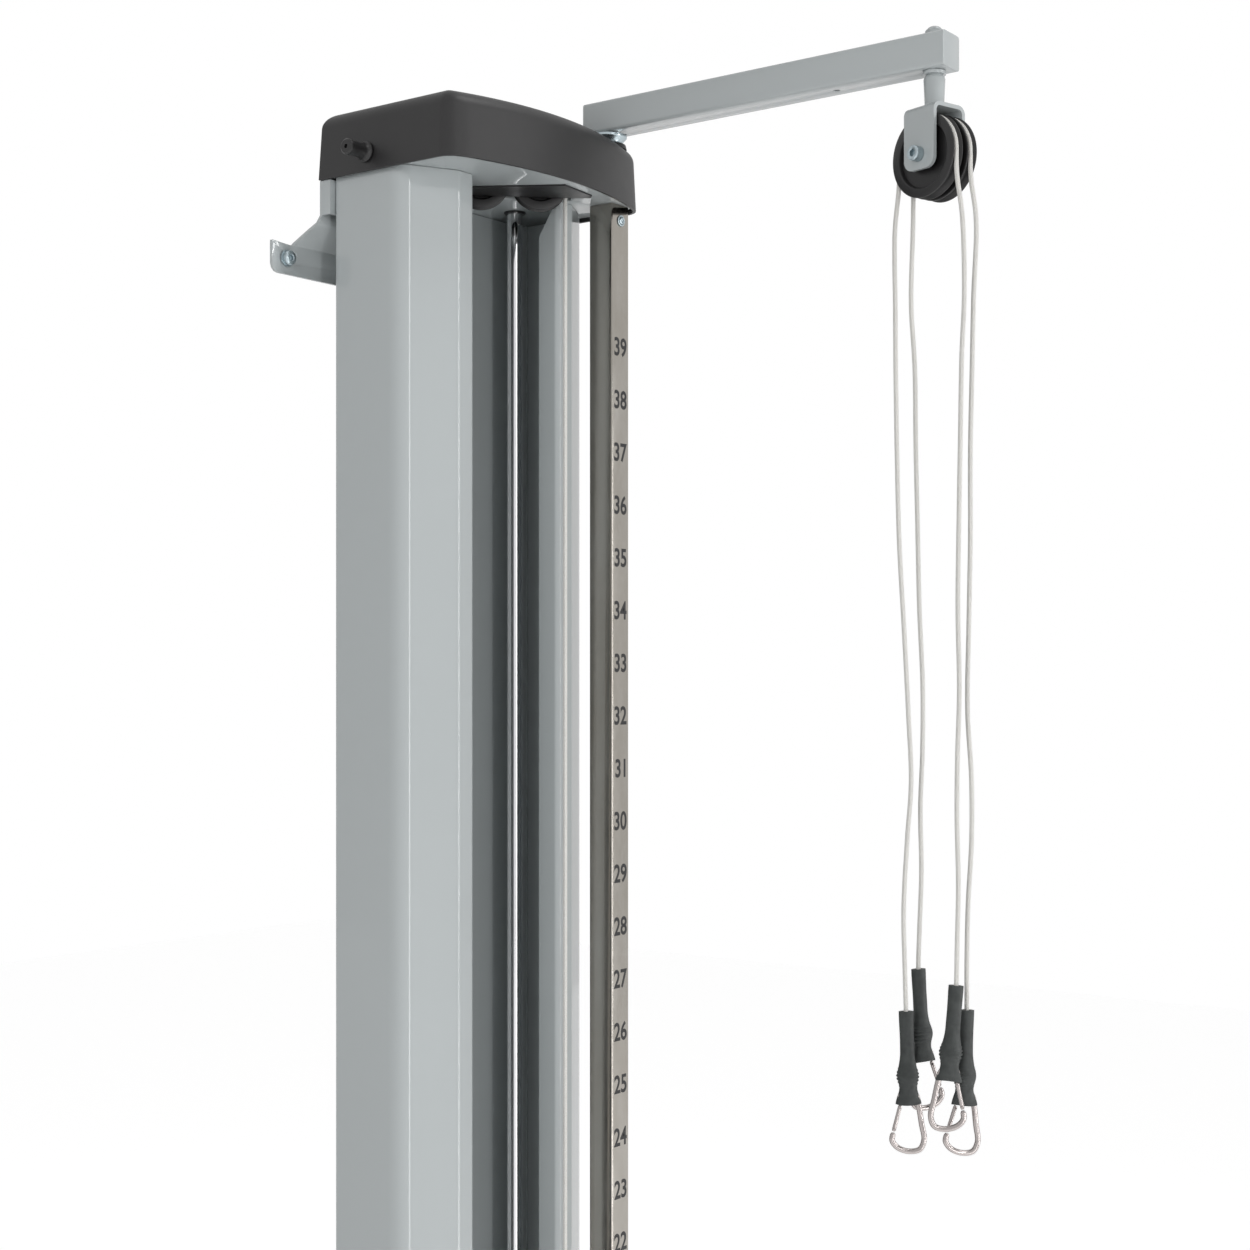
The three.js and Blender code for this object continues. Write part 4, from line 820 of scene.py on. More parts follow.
def digit_mesh(text):
    """A flat mesh of the digits, one unit high before it is scaled, and its points."""
    curve = bpy.data.curves.new("digits", "FONT")
    curve.body = text
    curve.offset = THICKENING
    curve.align_x = "CENTER"
    holder = bpy.data.objects.new("digits", curve)
    bpy.context.scene.collection.objects.link(holder)
    bpy.context.view_layer.update()
    mesh = bpy.data.meshes.new_from_object(holder.evaluated_get(bpy.context.evaluated_depsgraph_get()))
    bpy.data.objects.remove(holder)
    bpy.data.curves.remove(curve)
    return mesh, np.array([vert.co[:] for vert in mesh.vertices])


def make_numbers(scale):
    """Printed numbers up the pole's front face, each a thin layer of ink."""
    sample, points = digit_mesh("38")
    stretch = np.array([scale.width, scale.height]) / np.ptp(points, axis=0)[:2]
    bpy.data.meshes.remove(sample)
    first = low("base_plate")[2] + scale.first
    layer = 0.04 * MM
    front = low("number_pole")[1] - layer
    ink = bmesh.new()
    for number in range(1, scale.count + 1):
        mesh, points = digit_mesh(str(number))
        x, z, _ = (points - (points.max(0) + points.min(0)) / 2).T
        height = first + scale.pitch * (number - 1)
        spots = np.stack([x * stretch[0] + POLE[0], np.full(len(x), front), z * stretch[1] + height], -1)
        mesh.vertices.foreach_set("co", spots.ravel())
        ink.from_mesh(mesh)
        bpy.data.meshes.remove(mesh)
    bmesh.ops.remove_doubles(ink, verts=ink.verts, dist=1e-7)
    turn_outwards(ink)
    for face in ink.faces:
        if face.normal.y > 0:
            face.normal_flip()
    mesh = bpy.data.meshes.new("pole_numbers")
    ink.to_mesh(mesh)
    ink.free()
    settle("pole_numbers", mesh, "tower", "ink", smooth=False)


def make_rods():
    """Polished guide rods with chamfered ends, and the collars that they enter at the top."""
    for node in ("guide_rod_left", "guide_rod_right"):
        across, _, long = extent(node)
        radius = across / 2
        profile = [(0, 0), (radius - 1, 0), (radius, 1), (radius, long), (0, long)]
        axis = middle(node) * [1, 1, 0]
        spun(f"{node}_bar", profile, axis + low(node) * UP, UP, 64, "tower", "chrome", node=node)
        inner, outer = radius + 0.1, radius + 3
        collar = [(inner, -2), (outer - 1, -2), (outer, -1), (outer, 0), (inner, 0)]
        top = axis + (low("head_plate")[2] - SEAT_GAP) * UP
        spun(f"{node}_collar", collar, top, UP, 64, "tower", "nylon", ring=True)


def make_pulley(name, node, centre, axis, radius, groove, width, bore):
    """One grooved pulley on its axle, from a closed half section: hub, thin web, rim and a round groove.

    The sizes are in millimetres. The pulley rides on the body that has its node's name.
    """
    hub_wall, rim_wall, seat = 4, 3, 2.2
    half, web = width / 2, width / 6
    hub, rim = bore + hub_wall, groove - rim_wall
    slope = np.linspace(0, 1.1, 9)
    bottom = np.stack([groove + seat * (1 - np.cos(slope)), seat * np.sin(slope)], -1)
    upper = [
        (bore, half), (hub - 0.6, half), (hub, half - 0.8), (hub + 0.8, web), (rim - 1, web),
        (rim, half - 0.8), (rim + 0.8, half), (radius - 1.2, half), (radius - 0.3, half - 0.4),
        (radius, half - 1.2), (radius - 0.5, half - 1.7),
    ]
    line = np.concatenate([upper, bottom[::-1]])
    profile = np.concatenate([line, (line * [1, -1])[::-1][1:]])
    spun(name, profile, centre, axis, 96, node, "nylon", 0.25, node, ring=True)


def make_head_reeving():
    """Pulleys in the head with their bracket; beside them under the head plate, a black sheet of painted shade.
    """
    for name, centre in (("front", FRONT_PULLEY), ("rear", REAR_PULLEY)):
        make_pulley(
            f"head_wheel_{name}", f"head_pulley_{name}", centre, REEVE_AXIS, radius=27, groove=21.4, width=12,
            bore=4.4
        )
    refined("pulley_bracket_sheet", "pulley_bracket", "tower", "nylon")
    # A thin black sheet laid where the region beside the pulleys lies in shade: painted shade.
    plan = np.array([(-31, -108), (14, -181), (61, -176), (66, -171), (57, -157.5), (-23, -74.5)]) * MM
    top = low("head_plate")[2] - SEAT_GAP
    thick = 1.6 * MM
    shade_sheet = np.stack([np.column_stack([plan, np.full(len(plan), z)]) for z in (top - thick, top)])
    piece("pulley_guard", [(shade_sheet, False, True, True)], "tower", "nylon", 0.3, smooth=False)


def make_weights():
    """Weights, their stem and the selector pin."""
    count, lifted = 6, 3
    for level in range(1, count + 1):
        body = "stack" if level <= lifted else "tower"
        refined(f"weight_{level}", f"weight_plate_{level}", body, "iron", 0.8)
    refined("top_weight", "lift_plate", "stack", "iron", 0.7)
    refined("drilled_stem", "selector_stem", "stack", "zinc", 0.3)
    make_selector_knob()


def make_selector_knob():
    """Selector pin with a fluted knob."""
    front = (STACK[1] - low("selector_pin")[1]) / MM
    tail = (STACK[1] - high("selector_pin")[1]) / MM
    knob = 17
    collar = front - knob
    profile = [
        (0, tail), (2.5, tail), (3.5, tail + 2), (3.5, collar), (11, collar), (12, collar + 3),
        (12, front - 5), (11, front - 2), (8, front - 0.5), (0, front),
    ]
    centre = middle("selector_pin") * [1, 0, 1] - STACK * OUT
    spun("selector_knob", profile, centre, OUT, 96, "pin", "nylon", 0.4, "selector_pin", flutes(12, 0.7, 9))


def make_carriage():
    """Carriage on the pole, its lock plunger, swivel fork, pulley and rope stop."""
    refined("carriage_casting", "carriage_body", "carriage", "nylon", 1.2)
    refined("swivel_fork", "carriage_fork", "fork", "zinc")
    make_pulley(
        "outlet_wheel", "carriage_pulley", FORK_AXLE, RIGHT, radius=22, groove=16.4, width=11, bore=3.4
    )
    make_plunger()
    make_stop()


def make_plunger():
    """Lock plunger with a knurled pull knob."""
    end, _, across = extent("lock_plunger")
    knob, grip_long = across / 2, 22
    collar = end - grip_long
    profile = [
        (0, 0), (2.6, 0), (3.4, 1), (3.4, collar), (knob - 3, collar), (knob - 1, collar + 4),
        (knob, collar + 8), (knob, end - 5), (knob - 3, end - 1), (0, end),
    ]
    centre = middle("lock_plunger") * [0, 1, 1] + low("lock_plunger") * RIGHT
    grip = flutes(16, 0.6, knob - 2.5)
    spun("plunger_knob", profile, centre, RIGHT, 96, "plunger", "nylon", 0.4, "lock_plunger", grip)


def make_stop():
    """Stop ball and its steel eye: a sphere with a socket for the rope, and a ring."""
    radius = extent("rope_stop")[0] / 2
    seated, mouth, socket = 0.6, 3.2, 4
    centre = middle("rope_stop") * [1, 0, 1] + [0, high("rope_stop")[1] - (radius - seated) * MM, 0]
    angle = np.linspace(math.asin(mouth / radius), math.pi, 40)
    ball = radius * np.stack([np.sin(angle), np.cos(angle)], -1)
    profile = np.concatenate([[(0, radius - socket), (mouth - 0.4, radius - socket)], ball])
    spun("stop_ball", profile, centre, -OUT, 64, "fork", "rubber", 0.3, "rope_stop")
    wire, ring = 2.5 * MM, 9 * MM
    hub = centre + (radius * MM + ring - wire / 2) * OUT
    turn = np.linspace(0, TURN, 65)[:-1]
    line = hub + ring * np.stack([0 * turn, np.cos(turn), np.sin(turn)], -1)
    closed = np.concatenate([line[-1:], line, line[:1]])
    piece("stop_eye", [(tube(closed, wire, RIGHT, 20)[1:-1], True, True, False)], "fork", "steel")


def make_arm():
    """Square arm, its pivot post and the domed nut at its tip."""
    refined("arm_bar", "arm_tube", "arm", "paint", 0.5)
    post = middle("arm_pivot") * [1, 1, 0]
    bottom, top = low("arm_pivot")[2] / MM, high("arm_pivot")[2] / MM
    washer = (low("arm_tube")[2] - WASHER_GAP) / MM
    profile = [
        (0, bottom), (13.6, bottom), (13.6, bottom + 4), (12, bottom + 5), (12, washer - 10),
        (13, washer - 7), (15.5, washer - 4), (17, washer - 2.5), (17, washer), (6, washer), (6, top),
        (0, top),
    ]
    spun("pivot_post", profile, post, UP, 72, "tower", "zinc", 0.4, "arm_pivot")
    below_crown = 6.2
    cap_top = high("top_cap")[2] / MM - below_crown
    collar = [
        (12.3, cap_top - 2), (17, cap_top - 2), (16, cap_top + 2.5), (14.5, cap_top + 3.4),
        (12.3, cap_top + 3.4),
    ]
    spun("cap_collar", collar, post, UP, 72, "tower", "moulding", 0.3, ring=True)
    make_tip_nut()


def make_tip_nut():
    """Domed nut: a flange, six flats drawn in by the hexagon's formula and a dome."""
    flat, rise = 8, 3.6
    dome = np.linspace(0, QUARTER, 12)
    cover = np.stack([(flat - 1.6) * np.cos(dome), 4.6 + rise * np.sin(dome)], -1)
    profile = np.concatenate([
        [(0, 0), (9.5, 0), (9.5, 1.4), (flat, 1.7), (flat, 4), (flat - 0.6, 4.6)], cover,
    ])
    centre = middle("arm_tip_nut") * [1, 1, 0] + low("arm_tip_nut") * UP
    sides = flats(lambda radius, height: (height > 1.6) & (radius > flat - 0.1))
    spun("tip_nut", profile, centre, UP, 96, "yoke", "paint", 0.2, "arm_tip_nut", sides)


def from_yoke(points):
    """Points of the yoke's own frame (across, along, up), placed in the object's frame."""
    x, y, z = np.moveaxis(np.asarray(points, float), -1, 0)
    cos, sin = math.cos(YOKE_TURN), math.sin(YOKE_TURN)
    return np.stack([x * cos - y * sin, x * sin + y * cos, z], -1) + YOKE


def make_yoke(sizes):
    """Bent yoke strip, its stem, the axle bolt and both sheaves.

    The strip's rectangle is carried along the bent line, and its width follows a quarter round at both ends.
    """
    sheet, width, round_end, bend = 3.5, 35, 10, 6
    cheek, roof, foot = 15.5 + sheet / 2, 39 + sheet / 2, -13
    line, heads = bent_line([(-cheek, foot), (-cheek, roof), (cheek, roof), (cheek, foot)], (bend, bend), 12)
    fine = np.linspace(0, 1, 12)[1:-1, None] ** 2 * [0, round_end]
    line = np.concatenate([line[:1], line[0] + fine, line[1:-1], line[-1] + fine[::-1], line[-1:]])
    heads = np.concatenate([
        np.repeat(heads[:1], len(fine) + 1, 0), heads[1:-1], np.repeat(heads[-1:], len(fine) + 1, 0)
    ])
    below = round_end - np.clip(line[:, 1] - foot, 0, round_end)
    half = width / 2 - round_end + np.sqrt(np.maximum(round_end**2 - below**2, 0))
    outer, inner = both_faces(line, heads, sheet)
    corners = [(outer, -half), (outer, half), (inner, half), (inner, -half)]
    strip = np.stack([np.stack([flat[:, 0], y, flat[:, 1]], -1) for flat, y in corners], 1)
    grid = from_yoke(strip * MM)
    piece("yoke_strip", [(grid, False, True, True)], "yoke", "paint", 0.5, node="pulley_yoke")
    washer = (low("arm_tube")[2] - YOKE[2] - WASHER_GAP) / MM
    pin_top = (high("arm_tube")[2] - YOKE[2]) / MM + 2
    stem = [
        (0, roof), (9.6, roof + 1.4), (8.6, roof + 3.4), (8.4, roof + 5), (9.3, washer - 7),
        (8.6, washer - 5), (7, washer - 3), (10, washer - 3), (10, washer), (5, washer), (5, pin_top),
        (0, pin_top),
    ]
    spun("yoke_stem", stem, YOKE, UP, 64, "yoke", "paint", 0.3)
    make_axle_bolt(cheek + sheet / 2)
    for name, side in (("near", -1), ("far", 1)):
        centre = YOKE + side * sizes.offset * ACROSS
        make_pulley(
            f"sheave_wheel_{name}", f"sheave_{name}", centre, ACROSS, radius=36, groove=30.7, width=12, bore=4.4
        )


def make_axle_bolt(face):
    """Axle bolt with a deep socket head on the near side and a nut on the far side."""
    head, gap = face + 8.3, face + 0.3
    profile = [
        (0, 4.4 - head), (3.1, 4.4 - head), (3.3, 0.4 - head), (3.8, -head), (5.6, -head), (6.5, 0.9 - head),
        (6.5, -gap), (4, -gap), (4, gap), (7.6, gap), (7.6, face + 5.6), (6.6, face + 6.3), (0, face + 6.8),
    ]

    def in_socket_or_on_nut(radius, height):
        return (height < -face - 2) & (radius < 3.4) & (radius > 1) | (height > face) & (radius > 7)

    spun("axle_bolt", profile, YOKE, ACROSS, 96, "yoke", "zinc", 0.2, "yoke_axle", flats(in_socket_or_on_nut))


# Ropes


def rope_piece(name, line, normal, sizes, body, node):
    """A rope: a round section along its line, with a UV map that runs round it and along it for the braid."""
    sides, count = 20, len(line)
    grid = tube(line, sizes.diameter / 2, normal, sides)
    mesh = bpy.data.meshes.new(name)
    ends = [list(range(sides))[::-1], list(range((count - 1) * sides, count * sides))]
    mesh.from_pydata(grid.reshape(-1, 3).tolist(), [], grid_faces(count, sides, False, True).tolist() + ends)
    turns = travelled(line) / sizes.lay
    row = np.repeat(np.arange(count - 1), sides)
    column = np.tile(np.arange(sides), count - 1)
    u = np.stack([column, column + 1, column + 1, column], -1) / sides
    v = np.stack([turns[row], turns[row], turns[row + 1], turns[row + 1]], -1)
    flat = np.concatenate([np.stack([u, v], -1).reshape(-1, 2), np.zeros((2 * sides, 2))])
    mesh.uv_layers.new(name="Lay").data.foreach_set("uv", flat.ravel())
    edited(mesh, turn_outwards)
    return settle(name, mesh, body, "rope", node=node)


def make_inner_ropes(sizes):
    """Rope over the head pulleys, its two strands and the short end at the carriage."""
    reeve = np.cross(REEVE_AXIS, UP)
    reeve /= np.linalg.norm(reeve)
    wrap = sizes.head_wrap
    quarter = np.linspace(0, QUARTER, 12)[:, None]
    rear = REAR_PULLEY - wrap * np.cos(quarter) * reeve + wrap * np.sin(quarter) * UP
    front = FRONT_PULLEY + wrap * np.sin(quarter) * reeve + wrap * np.cos(quarter) * UP
    start = REAR_PULLEY - wrap * reeve
    end = FRONT_PULLEY + wrap * reeve
    start[2] = end[2] = low("rope_head")[2]
    line = np.vstack([start, rear, front, end])
    rope_piece("rope_over_head", line, REEVE_AXIS, sizes, "tower", "rope_head")
    for name, node, body in (
        ("rope_to_weights", "rope_stack_strand", "tower"), ("rope_to_carriage", "rope_front_strand", None),
    ):
        bottom, top = low(node)[2], high(node)[2]
        line = middle(node) * [1, 1, 0] + np.linspace(bottom, top, 240)[:, None] * UP
        strand = rope_piece(name, line, RIGHT, sizes, body, node)
        if body:
            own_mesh(strand)
        else:
            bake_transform(strand)
    turn = np.linspace(0, -QUARTER, 14)[:, None]
    bend = FORK_AXLE + sizes.outlet_wrap * (np.sin(turn) * UP - np.cos(turn) * OUT)
    top = bend[0] * [1, 1, 0] + high("rope_outlet") * UP
    out = bend[-1] * [1, 0, 1] - low("rope_outlet") * OUT
    rope_piece("rope_through_fork", np.vstack([top, bend, out]), RIGHT, sizes, "fork", "rope_outlet")


# Where each hanging end lies, as the model has it: its side of the yoke, its side of the sheave, the height
# of its sleeve above the floor, how far it hangs in, its turn and its lean
HANGERS = {
    "near_rear": (-1, 1, 1469.4 * MM, 8 * MM, math.radians(143), math.radians(1.6)),
    "far_rear": (1, 1, 1504 * MM, 6 * MM, math.radians(-30), math.radians(-3)),
    "near_front": (-1, -1, 1498.7 * MM, 0.0, math.radians(-39), math.radians(4.6)),
    "far_front": (1, -1, 1476 * MM, 4 * MM, math.radians(147), math.radians(-1.6)),
}
FALL_SHARES = (0.03, 0.08, 0.17, 0.25, 0.35, 0.45, 0.55, 0.65, 0.73, 0.8, 0.88, 0.95)
# How far each hanging end waves sideways at those shares of its fall, in millimetres, and which way that is
# in the yoke's own frame
WAVES = {
    "near_rear": (-0.5, -4, -4, -4, -3.6, -2.5, 0.7, 3.6, 5.4, 1.5, -1.8, -1),
    "far_rear": (0, -0.5, -2.3, 0.5, 0.9, 1.8, 2.7, 5, 4.3, 2.2, 2.8, 1),
    "near_front": (0.5, 5, 6.8, 4.6, 3.4, 2.2, 1.4, 2.6, 1, 0.6, 1.8, 0.8),
    "far_front": (0.5, 5, 3, 2, 0.9, 1.3, 0.5, -0.2, 3.4, 3.8, 0.9, 0),
}
WAVE_WAY = (0.796, -0.605)
# Length of rope inside a sleeve
SOCKET = 50 * MM


def hanger_top(name, sizes):
    """Top of a hanging end's sleeve, in the yoke's own frame."""
    side, hand, height, drift = HANGERS[name][:4]
    up = height + low("base_plate")[2] - YOKE[2]
    return np.array([side * sizes.offset, hand * (sizes.wrap - drift), up])


def hanging_line(name, sizes):
    """Line of one half of a hanging rope, from the top of its sheave down into its sleeve."""
    side, hand, _, drift = HANGERS[name][:4]
    turn = np.linspace(QUARTER, 0, 10)[:, None]
    wrap = side * sizes.offset * RIGHT + sizes.wrap * (np.sin(turn) * UP - hand * np.cos(turn) * OUT)
    share = np.array(FALL_SHARES)
    sway = drift * (3 * share**2 - 2 * share**3)
    wave = np.array(WAVES[name]) * MM
    fall = np.stack([
        side * sizes.offset + WAVE_WAY[0] * wave, hand * (sizes.wrap - sway) + WAVE_WAY[1] * wave,
        hanger_top(name, sizes)[2] * share,
    ], -1)
    depth = SOCKET * np.array([0.0, 0.5, 1.0])[:, None]
    inside = placed(-depth * UP, hook_matrix(name, sizes))
    return smooth_line(np.vstack([from_yoke(wrap), from_yoke(fall), inside]), 240)


def hook_matrix(name, sizes):
    """Turn and place of a hanging end: its own x towards the gate and z up the sleeve."""
    turn, lean = HANGERS[name][4:]
    place = Matrix.Translation(Vector(from_yoke(hanger_top(name, sizes))))
    return place @ Matrix.Rotation(YOKE_TURN + turn, 4, "Z") @ Matrix.Rotation(lean, 4, "Y")


def placed(points, matrix):
    """Points carried by a matrix."""
    matrix = np.array(matrix)
    return points @ matrix[:3, :3].T + matrix[:3, 3]


def sleeve_grid(long, seed):
    """Grid of a shrunk sleeve: a flattened tube whose half width and half depth follow the knot and the hook.

    Its surface is drawn in by creases: sines round and along it, strongest at the knot.
    """
    share = [0, 0.03, 0.25, 0.48, 0.58, 0.66, 0.72, 0.78, 0.85, 0.93, 1.0]
    wide = np.array([6.3, 6.4, 6.1, 6.2, 7.3, 9.3, 9.7, 8.2, 7.4, 9.9, 11.4]) * MM
    deep = np.array([4.2, 4.3, 4.6, 5.0, 6.3, 7.8, 7.8, 6.4, 5.4, 5.0, 4.5]) * MM
    steps, sides, blur = 220, 64, 17
    down = np.linspace(0, 1, steps)

    def along(half):
        padded = np.pad(np.interp(down, share, half), blur // 2, "edge")
        return np.convolve(padded, np.ones(blur) / blur, "valid")[:, None]

    wide, deep = along(wide), along(deep)
    down, angle = down[:, None], np.arange(sides)[None, :] * TURN / sides
    knot_share, spread_share, ring_count = 0.71, 0.08, 26
    knot = np.exp(-(((down - knot_share) / spread_share) ** 2))
    one_side = 0.5 + 0.5 * np.cos(angle + seed)
    rings = 1.05 * knot * one_side * np.sin(TURN * ring_count * down + 1.5 * np.sin(angle + seed))
    long_folds = 0.2 * np.sin(3 * angle + 9 * down + seed) * (0.25 + knot)
    fine_folds = 0.15 * np.sin(5 * angle - 14 * down + 2 * seed) * down
    scale = 1 + (rings + long_folds + fine_folds) * MM / wide
    z = -long * down + 0.5 * MM * np.sin(2 * angle + seed) * down
    body = np.stack([wide * scale * np.cos(angle), deep * scale * np.sin(angle), z], -1)
    hem = body[-1:] * [0.8, 0.72, 1]
    roof = hem + [0, 0, 5 * MM]
    mouth = body[:1] * [0.52, 0.52, 1]
    floor = mouth - [0, 0, SOCKET + MM]
    return np.concatenate([floor * UP, floor, mouth, body, hem, roof, roof * UP])


def hook_line(sizes):
    """Line of a hook's wire in its own x-z plane, from the gate's hinge over the top round to the nose."""
    half, end = sizes.wire / MM / 2, sizes.length / MM
    flat = np.array([
        (7, -15), (6.4, -7), (0, -half), (-6.4, -7), (-8.6, -17), (-10.6, -32), (-12.4, -46), (-8.5, -54),
        (1, half - end), (10.5, -52), (15, -46), (14, -39),
    ]) * MM
    return smooth_line(flat @ [RIGHT, UP], 150)


def make_hanging_ropes(sizes, hook):
    """Hanging ropes, each half from its sheave's top to its sleeve, with sleeve, hook and gate."""
    for name, (side, *_) in HANGERS.items():
        line = hanging_line(name, sizes)
        node = "rope_near" if side < 0 else "rope_far"
        half = rope_piece(f"rope_{name}", line, ACROSS, sizes, "yoke", node)
        pieces_on_it = make_hanger(name, sizes, hook)


def make_hanger(name, sizes, hook):
    """Sleeve, snap hook and gate of one rope end."""
    matrix = hook_matrix(name, sizes)
    seed = 1.7 * (1 + list(HANGERS).index(name))
    skin = placed(sleeve_grid(hook.sleeve, seed), matrix)
    sleeve = piece(f"shrunk_{name}", [(skin, False, True, False)], "yoke", "rubber", node=f"sleeve_{name}")
    down = matrix @ Matrix.Translation((0, 0, hook.hidden - hook.sleeve))
    line = hook_line(hook)
    thickness = np.interp(
        np.linspace(0, 1, len(line)), [0, 0.012, 0.03, 0.96, 0.985, 1], [0.8, 0.98, 1, 1, 0.95, 0.55]
    )
    normal = np.array(down.to_3x3() @ Vector(-OUT))
    grid = tube(placed(line, down), hook.wire / 2 * thickness, normal, 24)
    wire = piece(f"snap_{name}", [(grid, False, True, True)], "yoke", "steel", node=f"hook_{name}")
    return [sleeve, wire, make_gate(name, hook, down, normal)]


def make_gate(name, hook, down, normal):
    """Sprung gate: a bar that narrows at both ends, with a cross pin at the nose and a rivet at the hinge."""
    hinge, nose = np.array([(7, 0, -15), (14, 0, -39)]) * MM
    reach = np.linalg.norm(nose - hinge)
    along = (nose - hinge) / reach
    share = np.linspace(0, 1, 24)
    start, end = 0.8 * MM, reach - 1.2 * MM
    line = hinge + (start + share[:, None] * (end - start)) * along
    radius = hook.gate / 2 * np.interp(share, [0, 0.06, 0.94, 1], [0.75, 1, 1, 0.7])
    grids = [(tube(placed(line, down), radius, normal, 20), False, True, True)]
    for place, pin, half in ((end - 2.2 * MM, 1.1, 4.2), (start + 2 * MM, 0.9, 2.6)):
        profile = [(0, -half), (pin, -half), (pin, half), (0, half)]
        grids.append((turned(profile, placed(hinge + place * along, down), normal, 20), False, True, False))
    return piece(f"sprung_{name}", grids, f"gate_{name}", "steel", node=f"gate_{name}")


# Studio


def backdrop_material():
    """Pale floor that shows white to the camera, in mirrors and through glass, and still takes the shadow."""
    material = bpy.data.materials.new("Pale floor")
    material.use_nodes = True
    tree = material.node_tree
    rays = add_node(tree, "LightPath", {}).outputs
    shown = worked(tree, "MAXIMUM", rays["Is Camera Ray"], rays["Is Glossy Ray"])
    shown = worked(tree, "MAXIMUM", shown, rays["Is Transmission Ray"])
    glow = 0.74
    fill(tree, tree.nodes["Principled BSDF"], {
        "Base Color": (0.88, 0.88, 0.88, 1), "Roughness": 0.8, "Emission Color": (1, 1, 1, 1),
        "Emission Strength": spread(tree, shown, 0.0, 1.0, 0.0, glow),
    })
    return material


def make_world():
    """A plain world: white where it is seen or mirrored, and a soft even light on the object."""
    world = bpy.data.worlds.new("Studio")
    bpy.context.scene.world = world
    world.use_nodes = True
    tree = world.node_tree
    rays = add_node(tree, "LightPath", {}).outputs
    seen = worked(tree, "MAXIMUM", rays["Is Camera Ray"], rays["Is Transmission Ray"])
    soft, in_mirrors, white = 0.22, 0.8, 1.0
    mirrored = worked(tree, "MULTIPLY", rays["Is Glossy Ray"], in_mirrors)
    level = spread(tree, worked(tree, "MAXIMUM", seen, mirrored), 0.0, 1.0, soft, white)
    fill(tree, tree.nodes["Background"], {"Color": (1, 1, 1, 1), "Strength": level})


def area_light(name, place, target, size, power, mirrored=True):
    """A soft rectangular lamp that faces a target. One that isn't mirrored only fills."""
    data = bpy.data.lights.new(name, "AREA")
    data.shape = "RECTANGLE"
    data.size, data.size_y = size
    data.energy = power
    lamp = bpy.data.objects.new(name, data)
    bpy.context.scene.collection.objects.link(lamp)
    lamp.visible_glossy = mirrored
    lamp.location = place
    lamp.rotation_euler = (Vector(target) - Vector(place)).to_track_quat("-Z", "Y").to_euler()


def make_stage(studio):
    """Camera, floor, world and lamps."""
    scene = bpy.context.scene
    camera = bpy.data.objects.new("camera", bpy.data.cameras.new("camera"))
    scene.collection.objects.link(camera)
    camera.data.sensor_width = 36.0
    camera.data.lens = studio.lens
    camera.data.shift_y = studio.shift
    camera.location = studio.eye
    camera.rotation_euler = (QUARTER, 0, studio.heading)
    scene.camera = camera
    half, height = 9.0, low("base_plate")[2]
    mesh = bpy.data.meshes.new("floor")
    corners = [(x * half, y * half, height) for x, y in ((-1, -1), (1, -1), (1, 1), (-1, 1))]
    mesh.from_pydata(corners, [], [(0, 1, 2, 3)])
    mesh.materials.append(backdrop_material())
    floor = bpy.data.objects.new("floor", mesh)
    scene.collection.objects.link(floor)
    make_world()
    aim, column, head = (0.0, -0.1, -0.4), (-0.05, -0.12, -0.5), (0.1, -0.3, 0.1)
    area_light("front strip", (-1.25, -2.88, -0.5), column, (0.28, 3.0), 15)
    area_light("right strip", (1.0, -2.95, -0.5), column, (0.3, 3.0), 32)
    area_light("side fill", (-2.95, -0.75, 0.3), aim, (1.6, 2.6), 36, False)
    area_light("overhead", (0.5, -1.7, 2.4), head, (1.4, 1.4), 20)
    area_light("bounce", (-0.9, -1.7, -1.9), head, (1.4, 1.4), 8, False)
    scene.view_settings.view_transform = "Standard"


# Operators


class PULLEY_OT_finishes(bpy.types.Operator):
    """Make every finish of the tower"""

    bl_idname = "pulley.finishes"
    bl_label = "Finishes"

    def execute(self, context):
        make_finishes(context.scene.pulley_finish)
        return {"FINISHED"}


class PULLEY_OT_stage(bpy.types.Operator):
    """Make the camera, floor, world and lamps"""

    bl_idname = "pulley.stage"
    bl_label = "Studio"

    def execute(self, context):
        make_stage(context.scene.pulley_studio)
        return {"FINISHED"}


class PULLEY_OT_casing(bpy.types.Operator):
    """Make the folded casing halves and the back panel"""

    bl_idname = "pulley.casing"
    bl_label = "Casing"

    def execute(self, context):
        make_casing(context.scene.pulley_casing)
        return {"FINISHED"}


class PULLEY_OT_head(bpy.types.Operator):
    """Make the moulded cap, its plate, the side peg and the base"""

    bl_idname = "pulley.head"
    bl_label = "Head and base"

    def execute(self, context):
        make_head(context.scene.pulley_head)
        return {"FINISHED"}


class PULLEY_OT_fixings(bpy.types.Operator):
    """Make the wall brackets and their bolts"""

    bl_idname = "pulley.fixings"
    bl_label = "Wall fixings"

    def execute(self, context):
        make_wall_fixings()
        return {"FINISHED"}


class PULLEY_OT_pole(bpy.types.Operator):
    """Make the numbered pole with its screw and numbers"""

    bl_idname = "pulley.pole"
    bl_label = "Numbered pole"

    def execute(self, context):
        make_pole(context.scene.pulley_scale)
        return {"FINISHED"}


class PULLEY_OT_weights(bpy.types.Operator):
    """Make the guide rods, weights, stem and selector pin"""

    bl_idname = "pulley.weights"
    bl_label = "Weights"

    def execute(self, context):
        make_rods()
        make_weights()
        return {"FINISHED"}


class PULLEY_OT_reeving(bpy.types.Operator):
    """Make the head pulleys, their bracket and the inner ropes"""

    bl_idname = "pulley.reeving"
    bl_label = "Reeving"

    def execute(self, context):
        make_head_reeving()
        make_inner_ropes(context.scene.pulley_rope)
        return {"FINISHED"}


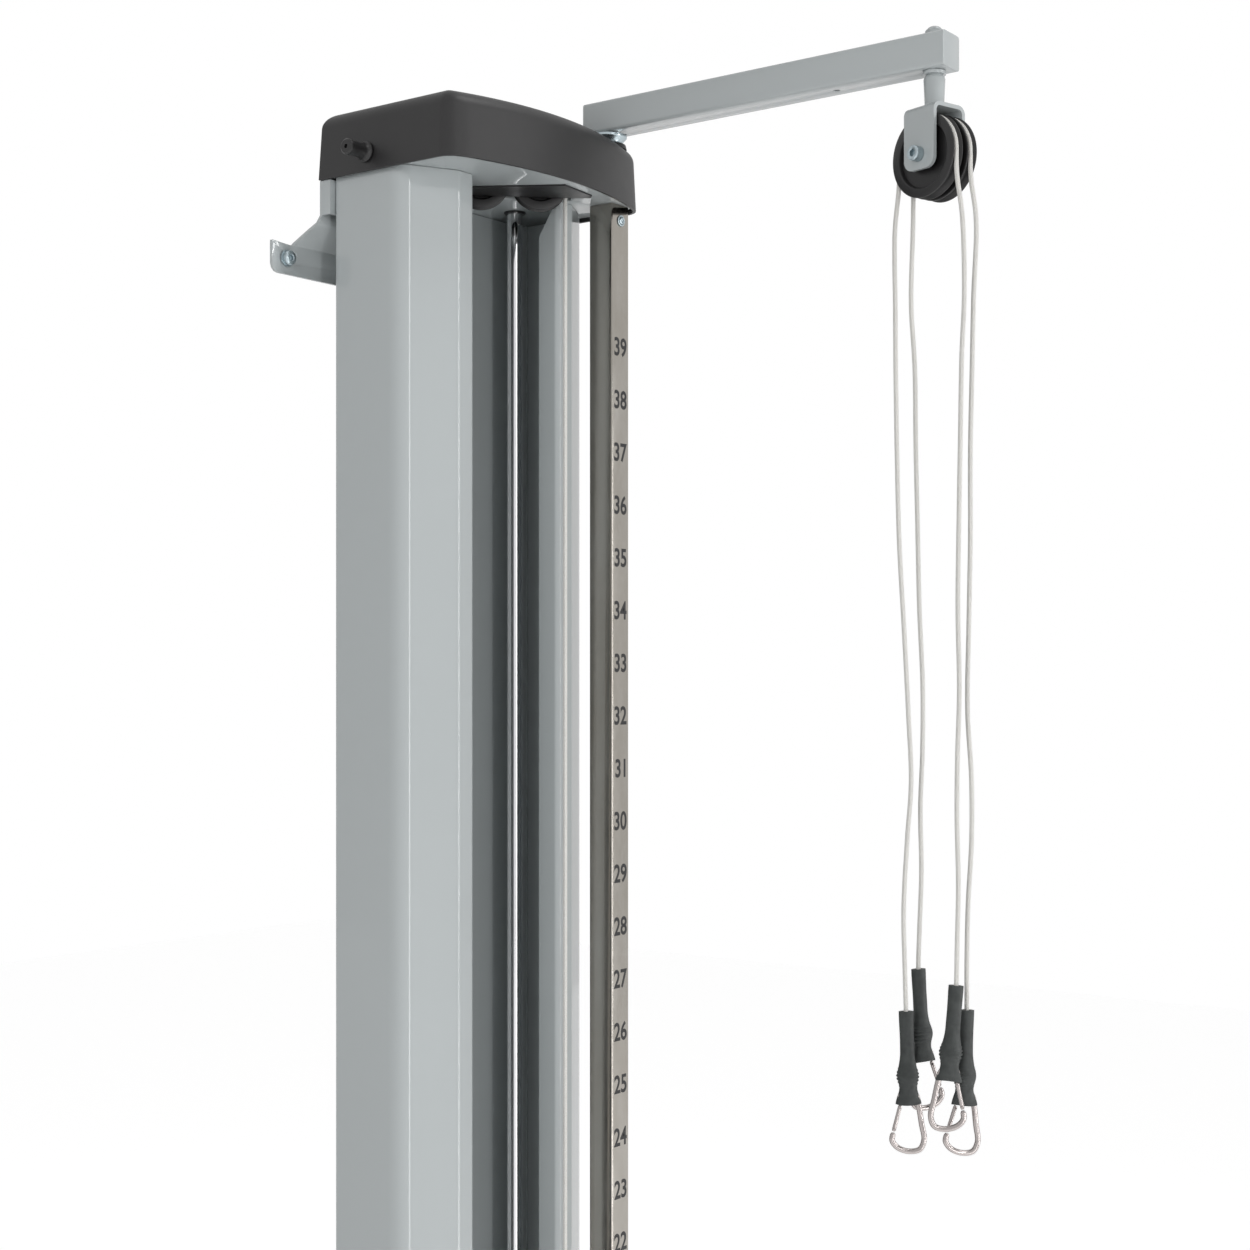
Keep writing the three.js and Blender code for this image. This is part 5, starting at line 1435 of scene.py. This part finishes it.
class PULLEY_OT_carriage(bpy.types.Operator):
    """Make the sliding carriage with its plunger, fork and pulley"""

    bl_idname = "pulley.carriage"
    bl_label = "Carriage"

    def execute(self, context):
        make_carriage()
        return {"FINISHED"}


class PULLEY_OT_arm(bpy.types.Operator):
    """Make the arm, its pivot, the yoke and the two sheaves"""

    bl_idname = "pulley.arm"
    bl_label = "Arm and yoke"

    def execute(self, context):
        make_arm()
        make_yoke(context.scene.pulley_rope)
        return {"FINISHED"}


class PULLEY_OT_ropes(bpy.types.Operator):
    """Make the hanging ropes with their sleeves, hooks and gates"""

    bl_idname = "pulley.ropes"
    bl_label = "Hanging ropes"

    def execute(self, context):
        make_hanging_ropes(context.scene.pulley_rope, context.scene.pulley_hook)
        return {"FINISHED"}


OPERATORS = (
    PULLEY_OT_finishes, PULLEY_OT_stage, PULLEY_OT_ropes, PULLEY_OT_casing, PULLEY_OT_head, PULLEY_OT_fixings,
    PULLEY_OT_pole, PULLEY_OT_weights, PULLEY_OT_reeving, PULLEY_OT_carriage, PULLEY_OT_arm,
)


class PULLEY_PT_panel(bpy.types.Panel):
    """Lists the steps that build the pulley tower"""

    bl_idname = "PULLEY_PT_panel"
    bl_label = "Wall pulley"
    bl_space_type = "VIEW_3D"
    bl_region_type = "UI"
    bl_category = "Pulley"

    def draw(self, context):
        column = self.layout.column(align=True)
        for operator in OPERATORS:
            column.operator(operator.bl_idname)


def register():
    """Registers the settings, operators and panel."""
    for name, group in GROUPS.items():
        bpy.utils.register_class(group)
        setattr(bpy.types.Scene, name, bpy.props.PointerProperty(type=group))
    for kind in (*OPERATORS, PULLEY_PT_panel):
        bpy.utils.register_class(kind)


def unregister():
    """Removes what register added."""
    for kind in reversed((*OPERATORS, PULLEY_PT_panel)):
        bpy.utils.unregister_class(kind)
    for name, group in GROUPS.items():
        delattr(bpy.types.Scene, name)
        bpy.utils.unregister_class(group)


def main():
    """Builds the scene."""
    register()
    for operator in OPERATORS:
        group, name = operator.bl_idname.split(".")
        getattr(getattr(bpy.ops, group), name)()


if __name__ == "__main__":
    main()
